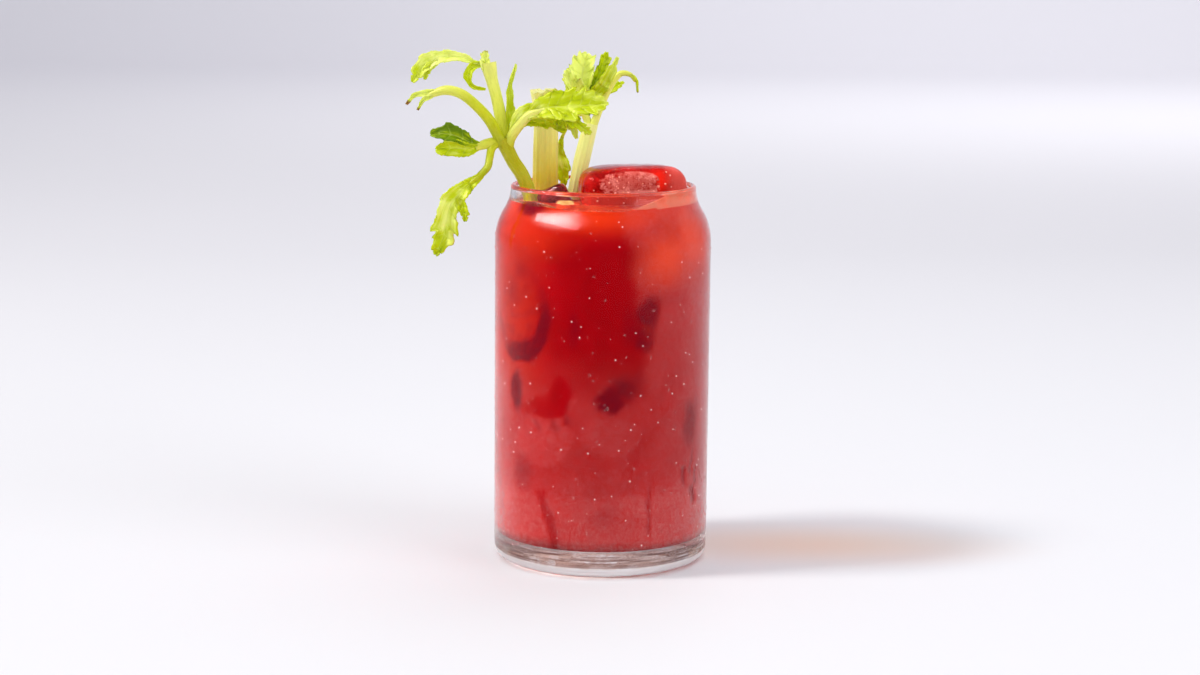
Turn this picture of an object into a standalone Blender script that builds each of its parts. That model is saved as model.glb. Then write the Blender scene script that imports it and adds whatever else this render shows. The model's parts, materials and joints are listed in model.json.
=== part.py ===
# Bloody mary in a can-shaped glass, with three celery stalks and three pieces of ice that show.
# The origin is the middle of the glass's base, +Z is up and the front is -Y.
# Every length below is in millimetres, and MM turns it into metres.
import math

import bmesh
import bpy
import numpy as np
from mathutils import Matrix, Vector

MM = 0.001
GAP = 0.3

# The glass is turned, like a drinks can with a thick base.
GLASS_HEIGHT = 133.0
BODY_RADIUS = 38.0
WALL = 1.9
BASE_THICKNESS = 9.0
HEEL_RADIUS = 4.0
INNER_CORNER = 4.0
SHOULDER_START = 113.0
SHOULDER_RADIUS = 21.5
NECK_RADIUS = 15.1
SHOULDER_TURN = math.radians(32.0)
TURNED_STEPS = 40

SHOULDER_TOP = SHOULDER_START + SHOULDER_RADIUS * math.sin(SHOULDER_TURN)
NECK_TOP = SHOULDER_TOP + NECK_RADIUS * math.sin(SHOULDER_TURN)
LIP_RADIUS = BODY_RADIUS - (SHOULDER_RADIUS + NECK_RADIUS) * (1 - math.cos(SHOULDER_TURN))

# The drink stands a little below the rim.
DRINK_LEVEL = 126.3

# Ice: the middle, the half sizes, the turn about Z, the tilt about Y and the seed of its melted form.
ICE_PIECES = {
    "ice_large": dict(middle=(10.5, -5.4, 126.2), half=(18.7, 10.2, 13.8), turn=11.0, tilt=-2.5,
                      seed=3, cuts=4),
    "ice_small": dict(middle=(-16.9, -7.7, 128.2), half=(5.4, 3.4, 4.6), turn=-6.0, tilt=-25.0,
                      seed=8, cuts=3),
    "ice_chip": dict(middle=(-12.2, -15.8, 125.0), half=(4.3, 3.1, 3.5), turn=20.0, tilt=6.0,
                     seed=5, cuts=3),
}
ICE_POWER = 4.5
ICE_DENT = 0.06
ICE_WAVES = 4
ICE_SPARE = 0.42

# A celery stalk is a channel: its outer side has ribs and its inner side is hollowed.
# The reaches are half the angle that each side goes round, and its cut upper end is wavy.
RIBS = 5
RIB_HEIGHT = 0.16
CHANNEL_REACH = math.radians(112.0)
HOLLOW_REACH = math.radians(96.0)
HOLLOW_STEPS = 5
HOLLOW_SHIFT = 0.12
CUT_WAVE = 0.7
CUT_TURNS = 2.6

# A stalk stands in a smooth pocket of the drink.
POCKET_REACH = math.radians(125.0)
POCKET_SPARE = GAP + RIB_HEIGHT
POCKET_STEPS = 8

# A branch is oval, and a leaf is a folded, rippled blade whose points sweep towards its tip.
OVAL_STEPS = 8
OVAL_DEPTH = 0.85
LEAF_THICKNESS = 0.6
LEAF_COLUMNS = 4
LEAF_END = 0.35
LEAF_FULLNESS = 0.8
LEAF_SWEEP = 0.55
NOTCH_SWEEP = 0.22
FOLD_AT_RIB = 0.4
RIPPLE_STEP = 2.1
RIPPLE_PHASES = (3.9, 1.3)

CURVE_STEPS = 12
SHARP_ANGLE = math.radians(35.0)

FRONT = (0.0, -1.0, 0.0)
BACK = (0.0, 1.0, 0.0)
RIGHT = (1.0, 0.0, 0.0)

# The left stalk leans on the rim and branches 15 mm above it.
LEFT_STALK = dict(
    route=[(-15, -3, 14), (-16.5, -3, 60), (-19.5, -3, 105), (-26.6, -3, 131.8), (-31.7, -3, 141.2),
           (-35.4, -3.2, 148.6)],
    widths=(5.6, 5.4, 5.2, 5.0, 4.9, 5.2), depth=0.95, wall=1.7, rows=13, facing=(-0.45, -0.85, 0.0),
)
LEFT_BRANCHES = [
    # the branch that arches far to the left
    dict(route=[(-33.6, -3.2, 144.5), (-36.4, -4.2, 149.2), (-39.8, -6, 155.3), (-44, -8, 160.2),
                (-49.2, -9, 164.4), (-54.6, -9, 165.7), (-60.2, -8, 164)],
         widths=(4.0, 3.9, 3.7, 3.5, 3.4, 3.3, 2.2), rows=12),
    # the upright branch with the broken top
    dict(route=[(-33.4, -2.6, 144.8), (-34.9, -2, 149.2), (-36.2, -1, 156.5), (-37.8, 0.6, 163.5),
                (-39.3, 1.6, 168.7), (-40.6, 2, 174.6)],
         widths=(4.0, 4.3, 4.1, 3.9, 4.1, 5.6), rows=8),
    # the branch that carries the broad right leaf
    dict(route=[(-33.2, -3.4, 145), (-32.4, -4.4, 149), (-29.2, -6, 153.8), (-25.4, -7.4, 157.6),
                (-20.4, -8.6, 159.4)],
         widths=(3.4, 3.4, 3.4, 3.0, 1.8), rows=7),
    # the two short branches that leave the left side
    dict(route=[(-34, -3, 145.5), (-37.2, -3.6, 147.4), (-41, -4.8, 146.9), (-44.6, -5.8, 145.7)],
         widths=(3.2, 3.5, 3.5, 2.4), rows=5),
    dict(route=[(-33.8, -3.4, 144.6), (-36.5, -3.8, 147), (-38.9, -4.8, 145.6), (-39.7, -6, 142),
                (-40.3, -7.2, 139.2), (-42.8, -8.3, 136.4), (-46.4, -9.2, 133.5)],
         widths=(2.8, 2.8, 2.8, 2.6, 2.6, 2.4, 1.4), rows=10),
]
LEFT_LEAVES = [
    # forked dry tips of the arching branch
    dict(route=[(-57, -8.6, 165.2), (-62, -8, 164.6), (-65.6, -8, 163.6), (-68.3, -7.8, 160.6)],
         half_width=1.3, peak=0.4, lobes=2, depth=0.15, fold=25, ripple=0.2, facing=(FRONT, FRONT)),
    dict(route=[(-58.4, -8.2, 164), (-62.2, -8.4, 162.4), (-64.4, -8.4, 158.8)],
         half_width=0.9, peak=0.4, lobes=2, depth=0.15, fold=20, ripple=0.1, facing=(FRONT, FRONT)),
    # broken crown of the upright branch
    dict(route=[(-40.4, 1.8, 170.4), (-41.6, 1.4, 174.8), (-41.3, 2, 178.8)],
         half_width=2.4, peak=0.5, lobes=2, depth=0.2, fold=35, ripple=0.3, facing=(FRONT, FRONT)),
    # leaf that reaches left from the crown, and its lower point
    dict(route=[(-40.8, 1.8, 174), (-45.5, 1.2, 174.9), (-49.8, 0.4, 176.4), (-54.2, -0.2, 176.8),
                (-59, -1, 176), (-63.4, -2, 173), (-66.6, -3.2, 168)],
         half_width=3.1, peak=0.66, lobes=6, depth=0.22, fold=24, ripple=0.5, facing=((0, -0.8, 0.6), FRONT)),
    dict(route=[(-57, -0.8, 175.6), (-61.2, -2.2, 172.8), (-62.4, -3, 169)],
         half_width=1.4, peak=0.5, lobes=2, depth=0.2, fold=20, ripple=0.2, facing=(FRONT, FRONT)),
    # leaf that curls under the crown
    dict(route=[(-41.4, 1.6, 174.4), (-45.2, 0.8, 173.8), (-47, -0.1, 171.3), (-46.9, -0.9, 168.4),
                (-45.2, -1.2, 166.4), (-41.4, -1.2, 165.6)],
         half_width=1.5, peak=0.35, lobes=4, depth=0.15, fold=30, ripple=0.2,
         facing=(FRONT, (-0.5, -0.8, 0))),
    # small leaf that stands between the branches
    dict(route=[(-33.8, -2, 147), (-33.4, 0, 154.2), (-33.5, 1.8, 161), (-33, 3.2, 167.4), (-31, 4.6, 174.2)],
         half_width=2.3, peak=0.3, lobes=4, depth=0.2, fold=40, ripple=0.3,
         facing=((0.7, -0.7, 0), (0.4, -0.9, 0))),
    # broad right leaf: its folded base, the upper blade, the drooping under blade and three lobes
    dict(route=[(-32.6, -4.6, 150), (-29.8, -5.8, 155.6), (-26, -6.8, 158.8), (-21.2, -7.8, 160),
                (-15.6, -8.8, 160.4)],
         half_width=2.9, peak=0.5, lobes=3, depth=0.12, fold=25, ripple=0.3, facing=((0, -0.9, 0.3), FRONT)),
    dict(route=[(-27, -6.8, 156.4), (-20.4, -8.8, 159.8), (-12.4, -9.6, 160.4), (-4.9, -9, 161),
                (1.4, -8, 161.5)],
         half_width=5.2, peak=0.5, lobes=7, depth=0.2, fold=28, ripple=0.8,
         facing=((0, -0.9, 0.5), (0, -0.75, 0.7))),
    dict(route=[(-31, -5, 151.8), (-26.8, -5.6, 155.2), (-21, -5, 155.6), (-13, -2.8, 151.6)],
         half_width=2.9, peak=0.5, lobes=4, depth=0.2, fold=30, ripple=0.5, facing=(FRONT, (0, -0.8, -0.5))),
    dict(route=[(-17, -9.2, 159.4), (-12.4, -10.6, 157), (-8.4, -12, 154.2), (-4.4, -12.6, 151.6)],
         half_width=2.4, peak=0.55, lobes=4, depth=0.25, fold=20, ripple=0.4, facing=((0, -0.9, 0.4), FRONT)),
    dict(route=[(-14.4, -9.4, 159.4), (-11.2, -9.8, 154.4), (-9.4, -9.4, 149.6)],
         half_width=1.8, peak=0.5, lobes=3, depth=0.25, fold=20, ripple=0.3, facing=(FRONT, FRONT)),
    dict(route=[(-18.4, -8.8, 159.4), (-15.4, -10.8, 156.8), (-13, -11.6, 153.4)],
         half_width=2.6, peak=0.5, lobes=3, depth=0.25, fold=20, ripple=0.4, facing=(FRONT, (0, -0.8, -0.4))),
    # rolled left leaf, in two blades that meet
    dict(route=[(-42, -5.2, 146.4), (-47.1, -6.6, 147.9), (-51.2, -7.8, 149.8), (-55.3, -8.4, 150.6),
                (-60, -8.6, 150.4)],
         half_width=3.5, peak=0.6, lobes=4, depth=0.1, fold=34, ripple=0.4,
         facing=((0, -0.9, 0.4), (0, -0.8, 0.6))),
    dict(route=[(-41.6, -5.2, 146.2), (-47.1, -6.6, 145.4), (-51.2, -7.6, 145.6), (-54.7, -8.2, 145.7),
                (-58.2, -8.6, 145.3)],
         half_width=3.2, peak=0.6, lobes=3, depth=0.08, fold=26, ripple=0.3, facing=((0, -0.9, -0.3), FRONT)),
    # long leaf that hangs outside the glass, and its side lobe
    dict(route=[(-39.9, -7, 140), (-42.4, -8.2, 136.4), (-46.4, -9.2, 133.3), (-50.8, -10, 129.2),
                (-53.4, -10, 125.3), (-54.6, -9.6, 120), (-55.6, -9, 115), (-58.4, -8.4, 108.4)],
         half_width=5.0, peak=0.63, lobes=9, depth=0.2, fold=22, ripple=0.7,
         facing=((0.2, -0.9, 0.3), FRONT)),
    dict(route=[(-51, -9.8, 129), (-48.8, -10.8, 125.8), (-47.9, -11.4, 120.6)],
         half_width=1.7, peak=0.5, lobes=3, depth=0.25, fold=20, ripple=0.2, facing=(FRONT, FRONT)),
]

# The middle stalk is cut off, and it widens at the cut.
MIDDLE_STALK = dict(
    route=[(-19.5, 9.5, 14), (-20, 9.2, 70), (-20.6, 9, 130.7), (-20.5, 9.5, 152.2), (-20.5, 10, 160),
           (-20.6, 10.2, 164.6)],
    widths=(9.6, 9.4, 9.1, 8.5, 9.6, 11.2), depth=0.82, wall=2.9, rows=9, facing=(0.1, -1.0, 0.0),
)

# The right stalk forks into a bare curling arm and an arm with the crown of leaves.
RIGHT_STALK = dict(
    route=[(-7, 7, 30), (-11, 6.5, 85), (-12.4, 4.6, 112), (-11.2, 4, 125.3), (-9.8, 4.2, 131),
           (-7.7, 4.6, 140.8), (-6.0, 5, 148), (-4.6, 5.2, 153.6)],
    widths=(4.8, 4.8, 4.7, 4.9, 5.1, 5.7, 5.4, 5.0), depth=0.9, wall=1.8, rows=13,
    facing=(-0.35, -0.95, 0.0),
)
RIGHT_BRANCHES = [
    # bare arm with a curled end
    dict(route=[(-5.6, 5, 149), (-3.6, 5, 153.6), (-1.4, 4.8, 159.4), (1, 4, 164.8), (3.2, 3.2, 168.8),
                (5.8, 2.6, 171.4), (9, 2, 171), (10.8, 1, 168.8)],
         widths=(2.9, 2.8, 2.5, 2.3, 2.3, 2.1, 1.6, 1.1), rows=13),
    # arm that carries the crown
    dict(route=[(-5.8, 5.2, 149), (-5.4, 5.6, 153), (-6.6, 5.6, 156.6), (-7.2, 5.2, 160.4), (-6.6, 5, 164.4)],
         widths=(2.6, 2.7, 2.7, 2.5, 2.0), rows=7),
    # thin stem of the leaf that droops towards the drink
    dict(route=[(-6.6, 5.8, 157), (-9.6, 9, 156), (-12.6, 12.4, 152.6), (-15.2, 14, 147.6)],
         widths=(1.5, 1.3, 1.2, 1.1), rows=6),
]
RIGHT_LEAVES = [
    # end of the bare arm
    dict(route=[(8.8, 2, 171.2), (11, 1.2, 168.8), (11.6, 0.6, 165)],
         half_width=1.1, peak=0.4, lobes=2, depth=0.15, fold=25, ripple=0.1, facing=(RIGHT, RIGHT)),
    # crown of leaves, from left to right
    dict(route=[(-6.8, 4.6, 160.6), (-9.4, 0.6, 164.2), (-12, -2.4, 168), (-13.6, -3.4, 172.6)],
         half_width=4.7, peak=0.55, lobes=5, depth=0.14, fold=38, ripple=0.8,
         facing=((0, -0.8, 0.5), (0.3, -0.9, 0.2))),
    dict(route=[(-6.8, 5, 161.4), (-7.6, 4, 167), (-7.6, 4.6, 172.4), (-6.2, 6, 178)],
         half_width=5.8, peak=0.6, lobes=6, depth=0.14, fold=32, ripple=0.9,
         facing=(FRONT, (0.1, -0.95, 0.2))),
    dict(route=[(-6.4, 5.4, 162), (-3.6, 7, 167), (-1.2, 8.6, 172.6), (0.6, 9.6, 178.4)],
         half_width=3.6, peak=0.55, lobes=5, depth=0.16, fold=35, ripple=0.6, facing=(FRONT, (0.4, -0.9, 0))),
    dict(route=[(-6.9, 5.2, 161), (-2.2, 2.6, 165.8), (1.8, 0.8, 171.8), (4.4, 0, 177.2)],
         half_width=2.7, peak=0.45, lobes=5, depth=0.18, fold=30, ripple=0.5, facing=(FRONT, (0.5, -0.8, 0))),
    dict(route=[(-6.8, 5.6, 160.4), (-10, 9.4, 164), (-11.6, 12.4, 169), (-11, 14, 174)],
         half_width=3.6, peak=0.55, lobes=5, depth=0.18, fold=30, ripple=0.7, facing=(BACK, BACK)),
    dict(route=[(-6.4, 5.6, 160), (-1, 9.4, 163.4), (3.2, 12, 165.6), (6.8, 13.4, 167.8)],
         half_width=2.0, peak=0.6, lobes=4, depth=0.2, fold=25, ripple=0.3,
         facing=((0, -0.8, 0.6), (0, -0.7, 0.7))),
    # drooping leaf behind the stalks
    dict(route=[(-14.6, 13.6, 149), (-15.8, 14.4, 143.2), (-14.6, 14.6, 137), (-13.8, 14.2, 130.8)],
         half_width=2.8, peak=0.6, lobes=5, depth=0.2, fold=22, ripple=0.6, facing=(FRONT, FRONT)),
]


def clear_scene():
    for item in list(bpy.data.objects):
        bpy.data.objects.remove(item)


def finish_of(name, colour, roughness, transmission=0.0):
    """A Principled BSDF material in the part's own colour."""
    material = bpy.data.materials.new(name)
    material.use_nodes = True
    shader = material.node_tree.nodes["Principled BSDF"]
    shader.inputs["Base Color"].default_value = (*colour, 1.0)
    shader.inputs["Roughness"].default_value = roughness
    shader.inputs["Metallic"].default_value = 0.0
    shader.inputs["Transmission Weight"].default_value = transmission
    return material


def link_mesh(name, bm, material=None):
    """Turns a bmesh in millimetres into an object in metres."""
    bmesh.ops.scale(bm, vec=(MM, MM, MM), verts=bm.verts)
    mesh = bpy.data.meshes.new(name)
    bm.to_mesh(mesh)
    bm.free()
    return link_object(name, mesh, material)


def link_object(name, mesh, material=None):
    mesh.shade_smooth()
    mesh.set_sharp_from_angle(angle=SHARP_ANGLE)
    if material:
        mesh.materials.append(material)
    made = bpy.data.objects.new(name, mesh)
    bpy.context.scene.collection.objects.link(made)
    return made


def arc(centre, radius, start, end, steps):
    """Points (r, z) along an arc, from start to end degrees, measured from the outward radius."""
    angles = [math.radians(start + (end - start) * i / steps) for i in range(steps + 1)]
    return [(centre[0] + radius * math.cos(a), centre[1] + radius * math.sin(a)) for a in angles]


def wall_profile(inset, top=None):
    """Side of the glass from the body to the neck, moved in by inset and stopped at height top."""
    turn = math.degrees(SHOULDER_TURN)
    shoulder = arc((BODY_RADIUS - SHOULDER_RADIUS, SHOULDER_START), SHOULDER_RADIUS - inset, 0, turn, 4)
    neck = arc((LIP_RADIUS + NECK_RADIUS, NECK_TOP), NECK_RADIUS + inset, 180 + turn, 180, 3)
    if top is None:
        return shoulder + neck[1:]
    below = [point for point in shoulder + neck[1:] if point[1] < top - 0.5]
    drop = NECK_TOP - top
    across = LIP_RADIUS + NECK_RADIUS - math.sqrt((NECK_RADIUS + inset) ** 2 - drop**2)
    return below + [(across, top)]


def glass_profile():
    """The glass's closed outline, from the middle of its underside round to the middle of its floor."""
    heel = arc((BODY_RADIUS - HEEL_RADIUS, HEEL_RADIUS), HEEL_RADIUS, -90, 0, 3)
    lip = arc((LIP_RADIUS - WALL / 2, GLASS_HEIGHT - WALL / 2), WALL / 2, 0, 180, 4)
    inside = wall_profile(WALL)[::-1]
    inner_radius = BODY_RADIUS - WALL
    corner = arc((inner_radius - INNER_CORNER, BASE_THICKNESS + INNER_CORNER), INNER_CORNER, 0, -90, 3)
    return [(0, 0)] + heel + wall_profile(0) + lip + inside + corner + [(0, BASE_THICKNESS)]


def drink_profile():
    """The drink's outline, a gap inside the glass, from the middle of its bottom to the middle of its top."""
    radius = BODY_RADIUS - WALL - GAP
    floor = BASE_THICKNESS + GAP
    corner_radius = INNER_CORNER - GAP
    corner = arc((radius - corner_radius, floor + corner_radius), corner_radius, -90, 0, 3)
    return [(0, floor)] + corner + wall_profile(WALL + GAP, DRINK_LEVEL) + [(0, DRINK_LEVEL)]


def turned(name, profile, material):
    """Spins a profile of (r, z) points about the Z axis."""
    bm = bmesh.new()
    verts = [bm.verts.new((r, 0, z)) for r, z in profile]
    edges = [bm.edges.new(pair) for pair in zip(verts, verts[1:])]
    bmesh.ops.spin(bm, geom=verts + edges, cent=(0, 0, 0), axis=(0, 0, 1), angle=math.tau,
                   steps=TURNED_STEPS, use_merge=True)
    bmesh.ops.remove_doubles(bm, verts=bm.verts, dist=1e-4)
    bmesh.ops.recalc_face_normals(bm, faces=bm.faces)
    return link_mesh(name, bm, material)


def smooth_route(points, rows):
    """Samples a Catmull-Rom curve through the points at equal steps; returns the places and shares."""
    knots = np.array(points, float)
    ends = np.vstack([2 * knots[0] - knots[1], knots, 2 * knots[-1] - knots[-2]])
    fine, shares = [], []
    for i in range(len(knots) - 1):
        before, here, there, after = ends[i:i + 4]
        for t in np.linspace(0, 1, CURVE_STEPS, endpoint=i == len(knots) - 2):
            bend = 2 * before - 5 * here + 4 * there - after
            twist = 3 * here - before - 3 * there + after
            fine.append(here + 0.5 * ((there - before) * t + bend * t**2 + twist * t**3))
            shares.append((i + t) / (len(knots) - 1))
    fine = np.array(fine)
    run = np.concatenate([[0], np.cumsum(np.linalg.norm(np.diff(fine, axis=0), axis=1))])
    wanted = np.linspace(0, run[-1], rows + 1)
    places = np.stack([np.interp(wanted, run, fine[:, axis]) for axis in range(3)], axis=1)
    return places, np.interp(wanted, run, shares)


def frames_along(places, facing_start, facing_end):
    """The tangent, side and normal at each place; the normal looks towards the facing."""
    frames = []
    for i, tangent in enumerate(np.gradient(places, axis=0)):
        tangent = tangent / np.linalg.norm(tangent)
        share = i / (len(places) - 1)
        facing = (1 - share) * np.array(facing_start, float) + share * np.array(facing_end, float)
        normal = facing - facing.dot(tangent) * tangent
        normal /= np.linalg.norm(normal)
        frames.append((tangent, np.cross(tangent, normal), normal))
    return frames


def swept(rings):
    """A closed tube through rings of points."""
    bm = bmesh.new()
    loops = [[bm.verts.new(point) for point in ring] for ring in rings]
    count = len(loops[0])
    for lower, upper in zip(loops, loops[1:]):
        for i in range(count):
            bm.faces.new((lower[i], lower[(i + 1) % count], upper[(i + 1) % count], upper[i]))
    bm.faces.new(loops[0][::-1])
    bm.faces.new(loops[-1])
    bmesh.ops.triangulate(bm, faces=bm.faces)
    bmesh.ops.recalc_face_normals(bm, faces=bm.faces)
    return bm


def channel(route, widths, depth, wall, rows, facing):
    """A ribbed, hollowed stalk along a route."""
    places, shares = smooth_route(route, rows)
    rings = []
    for place, share, (tangent, side, normal) in zip(places, shares, frames_along(places, facing, facing)):
        width = np.interp(share, np.linspace(0, 1, len(widths)), widths)
        across, deep = width / 2, depth * width / 2
        ring = []
        for i in range(2 * RIBS + 1):
            angle = CHANNEL_REACH * (i / RIBS - 1)
            rib = RIB_HEIGHT * (0.5 if i % 2 == 0 else -0.5)
            out = side * (across + rib) * math.sin(angle) + normal * (deep + rib) * math.cos(angle)
            crest = CUT_WAVE * math.sin(CUT_TURNS * angle) if share == 1 else 0
            ring.append(place + out + tangent * crest)
        for i in range(HOLLOW_STEPS + 1):
            angle = HOLLOW_REACH * (1 - 2 * i / HOLLOW_STEPS)
            ring.append(place + side * (across - wall) * math.sin(angle)
                        + normal * ((deep - wall) * math.cos(angle) - HOLLOW_SHIFT * width))
        rings.append(ring)
    return link_mesh("stalk", swept(rings))


def pocket(stalk):
    """The room that a stalk takes up in the drink, with a gap all round and past its lower end."""
    places, shares = smooth_route(stalk["route"], stalk["rows"])
    frames = frames_along(places, stalk["facing"], stalk["facing"])
    rings = []
    for place, share, (tangent, side, normal) in zip(places, shares, frames):
        width = np.interp(share, np.linspace(0, 1, len(stalk["widths"])), stalk["widths"])
        across, deep = width / 2 + POCKET_SPARE, stalk["depth"] * width / 2 + POCKET_SPARE
        middle = place - tangent * POCKET_SPARE if share == 0 else place
        angles = [POCKET_REACH * (2 * i / POCKET_STEPS - 1) for i in range(POCKET_STEPS + 1)]
        rings.append([middle + side * across * math.sin(a) + normal * deep * math.cos(a) for a in angles])
    return link_mesh("stalk_pocket", swept(rings))


def stem(route, widths, rows):
    """A branch of oval section that tapers along its route."""
    places, shares = smooth_route(route, rows)
    rings = []
    for place, share, (_, side, normal) in zip(places, shares, frames_along(places, FRONT, FRONT)):
        radius = np.interp(share, np.linspace(0, 1, len(widths)), widths) / 2
        deep = OVAL_DEPTH * radius
        turns = [math.tau * i / OVAL_STEPS for i in range(OVAL_STEPS)]
        rings.append([place + side * radius * math.cos(a) + normal * deep * math.sin(a) for a in turns])
    return link_mesh("stem", swept(rings))


def leaf(route, half_width, peak, lobes, depth, fold, ripple, facing):
    """A thin blade: its width peaks at a share of its length, and every second row is a notch."""
    rows = 2 * lobes + 2
    places, _ = smooth_route(route, rows)
    frames = frames_along(places, *facing)
    power = math.log(0.5) / math.log(peak)
    grid = []
    for row, (place, (tangent, side, normal)) in enumerate(zip(places, frames)):
        share = row / rows
        width = LEAF_END + half_width * math.sin(math.pi * share**power) ** LEAF_FULLNESS
        is_notch = row % 2 == 0
        if is_notch and 0 < row < rows:
            width *= 1 - depth
        line = []
        for column in range(LEAF_COLUMNS + 1):
            out = 2 * column / LEAF_COLUMNS - 1
            angle = math.radians(fold) * (FOLD_AT_RIB + (1 - FOLD_AT_RIB) * abs(out))
            wave = ripple * out**2 * math.sin(RIPPLE_STEP * row + RIPPLE_PHASES[out > 0])
            rise = width * abs(out) * math.sin(angle) + wave
            reach = (NOTCH_SWEEP if is_notch else LEAF_SWEEP) * width * abs(out)
            line.append(place + side * width * out * math.cos(angle) + normal * rise + tangent * reach)
        grid.append(line)
    return link_mesh("leaf", thick_sheet(np.array(grid)))


def thick_sheet(grid):
    """Gives a grid of points the leaf's thickness, none at its border; both faces are split alike."""
    lift = np.cross(np.gradient(grid, axis=0), np.gradient(grid, axis=1))
    lift *= LEAF_THICKNESS / 2 / np.linalg.norm(lift, axis=2, keepdims=True)
    rows, columns = grid.shape[0] - 1, grid.shape[1] - 1
    bm = bmesh.new()
    top, under = [], []
    for i in range(rows + 1):
        top.append([])
        under.append([])
        for j in range(columns + 1):
            if i in (0, rows) or j in (0, columns):
                shared = bm.verts.new(grid[i, j])
                top[i].append(shared)
                under[i].append(shared)
            else:
                top[i].append(bm.verts.new(grid[i, j] + lift[i, j]))
                under[i].append(bm.verts.new(grid[i, j] - lift[i, j]))
    for i in range(rows):
        for j in range(columns):
            for sheet in (top, under):
                a, b, c, d = sheet[i][j], sheet[i][j + 1], sheet[i + 1][j + 1], sheet[i + 1][j]
                # the split that keeps every triangle off the corners of the border
                if (2 * i < rows) == (2 * j < columns):
                    pair = (a, b, c), (a, c, d)
                else:
                    pair = (a, b, d), (b, c, d)
                for corners in pair:
                    bm.faces.new(corners)
    bmesh.ops.recalc_face_normals(bm, faces=bm.faces)
    return bm


def fused(name, pieces, material):
    """Joins overlapping pieces into one closed body with a single Boolean union."""
    body, others = pieces[0], pieces[1:]
    group = bpy.data.collections.new(name + "_pieces")
    bpy.context.scene.collection.children.link(group)
    for piece in others:
        bpy.context.scene.collection.objects.unlink(piece)
        group.objects.link(piece)
    join = body.modifiers.new("join", "BOOLEAN")
    join.operation = "UNION"
    join.operand_type = "COLLECTION"
    join.collection = group
    join.solver = "MANIFOLD"
    bpy.context.view_layer.update()
    evaluated = body.evaluated_get(bpy.context.evaluated_depsgraph_get())
    mesh = bpy.data.meshes.new_from_object(evaluated)
    for piece in pieces:
        bpy.data.objects.remove(piece)
    bpy.data.collections.remove(group)
    mesh.name = name
    return link_object(name, mesh, material)


def ice(name, material, middle, half, turn, tilt, seed, cuts, spare=0.0):
    """A melted cube: a rounded box with shallow dents from a seeded sum of waves."""
    draw = np.random.default_rng(seed)
    waves = draw.uniform(0.8, 2.2, (ICE_WAVES, 3)) * draw.choice([-1, 1], (ICE_WAVES, 3))
    phases = draw.uniform(0, math.tau, ICE_WAVES)
    bm = bmesh.new()
    bmesh.ops.create_cube(bm, size=2.0)
    bmesh.ops.subdivide_edges(bm, edges=bm.edges, cuts=cuts, use_grid_fill=True)
    for vert in bm.verts:
        point = np.array(vert.co)
        point /= (np.abs(point) ** ICE_POWER).sum() ** (1 / ICE_POWER)
        dent = 1 + ICE_DENT * np.sin(waves @ point + phases).mean()
        vert.co = point * dent * (np.array(half) + spare)
    bmesh.ops.triangulate(bm, faces=bm.faces)
    turned_by = Matrix.Rotation(math.radians(turn), 4, "Z") @ Matrix.Rotation(math.radians(tilt), 4, "Y")
    place = Matrix.Translation(Vector(middle)) @ turned_by
    bmesh.ops.transform(bm, matrix=place, verts=bm.verts)
    return link_mesh(name, bm, material)


def cut_out(body, cutters):
    """Takes the cutters out of body, which keeps a gap round whatever stands in it."""
    group = bpy.data.collections.new(body.name + "_cutters")
    bpy.context.scene.collection.children.link(group)
    for cutter in cutters:
        bpy.context.scene.collection.objects.unlink(cutter)
        group.objects.link(cutter)
        cutter.hide_render = True
        cutter.display_type = "WIRE"
    cut = body.modifiers.new("cut", "BOOLEAN")
    cut.operation = "DIFFERENCE"
    cut.operand_type = "COLLECTION"
    cut.collection = group


def celery(name, stalk, branches, leaves, material):
    pieces = [channel(**stalk)]
    pieces += [stem(**branch) for branch in branches]
    pieces += [leaf(**blade) for blade in leaves]
    return fused(name, pieces, material)


def main():
    clear_scene()
    clear_glass = finish_of("clear_glass", (0.93, 0.96, 0.96), 0.03, transmission=1.0)
    tomato = finish_of("tomato_drink", (0.62, 0.02, 0.02), 0.25)
    wet_ice = finish_of("wet_ice", (0.60, 0.06, 0.07), 0.1, transmission=0.6)
    leafy = finish_of("celery_green", (0.55, 0.68, 0.10), 0.45)
    pale = finish_of("celery_pale", (0.72, 0.70, 0.28), 0.5)

    turned("glass", glass_profile(), clear_glass)
    drink = turned("drink", drink_profile(), tomato)
    for name, shape in ICE_PIECES.items():
        ice(name, wet_ice, **shape)
    celery("celery_left", LEFT_STALK, LEFT_BRANCHES, LEFT_LEAVES, leafy)
    middle = channel(**MIDDLE_STALK)
    middle.name = "celery_middle"
    middle.data.materials.append(pale)
    celery("celery_right", RIGHT_STALK, RIGHT_BRANCHES, RIGHT_LEAVES, leafy)

    cutters = [pocket(stalk) for stalk in (LEFT_STALK, MIDDLE_STALK, RIGHT_STALK)]
    cutters += [ice("ice_pocket", None, **shape, spare=ICE_SPARE) for shape in ICE_PIECES.values()]
    cut_out(drink, cutters)


main()
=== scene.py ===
# Bloody mary in a can-shaped glass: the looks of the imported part.
import json
import math

import bmesh
import bpy
import numpy as np
from mathutils import Matrix, Vector, noise

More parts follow.
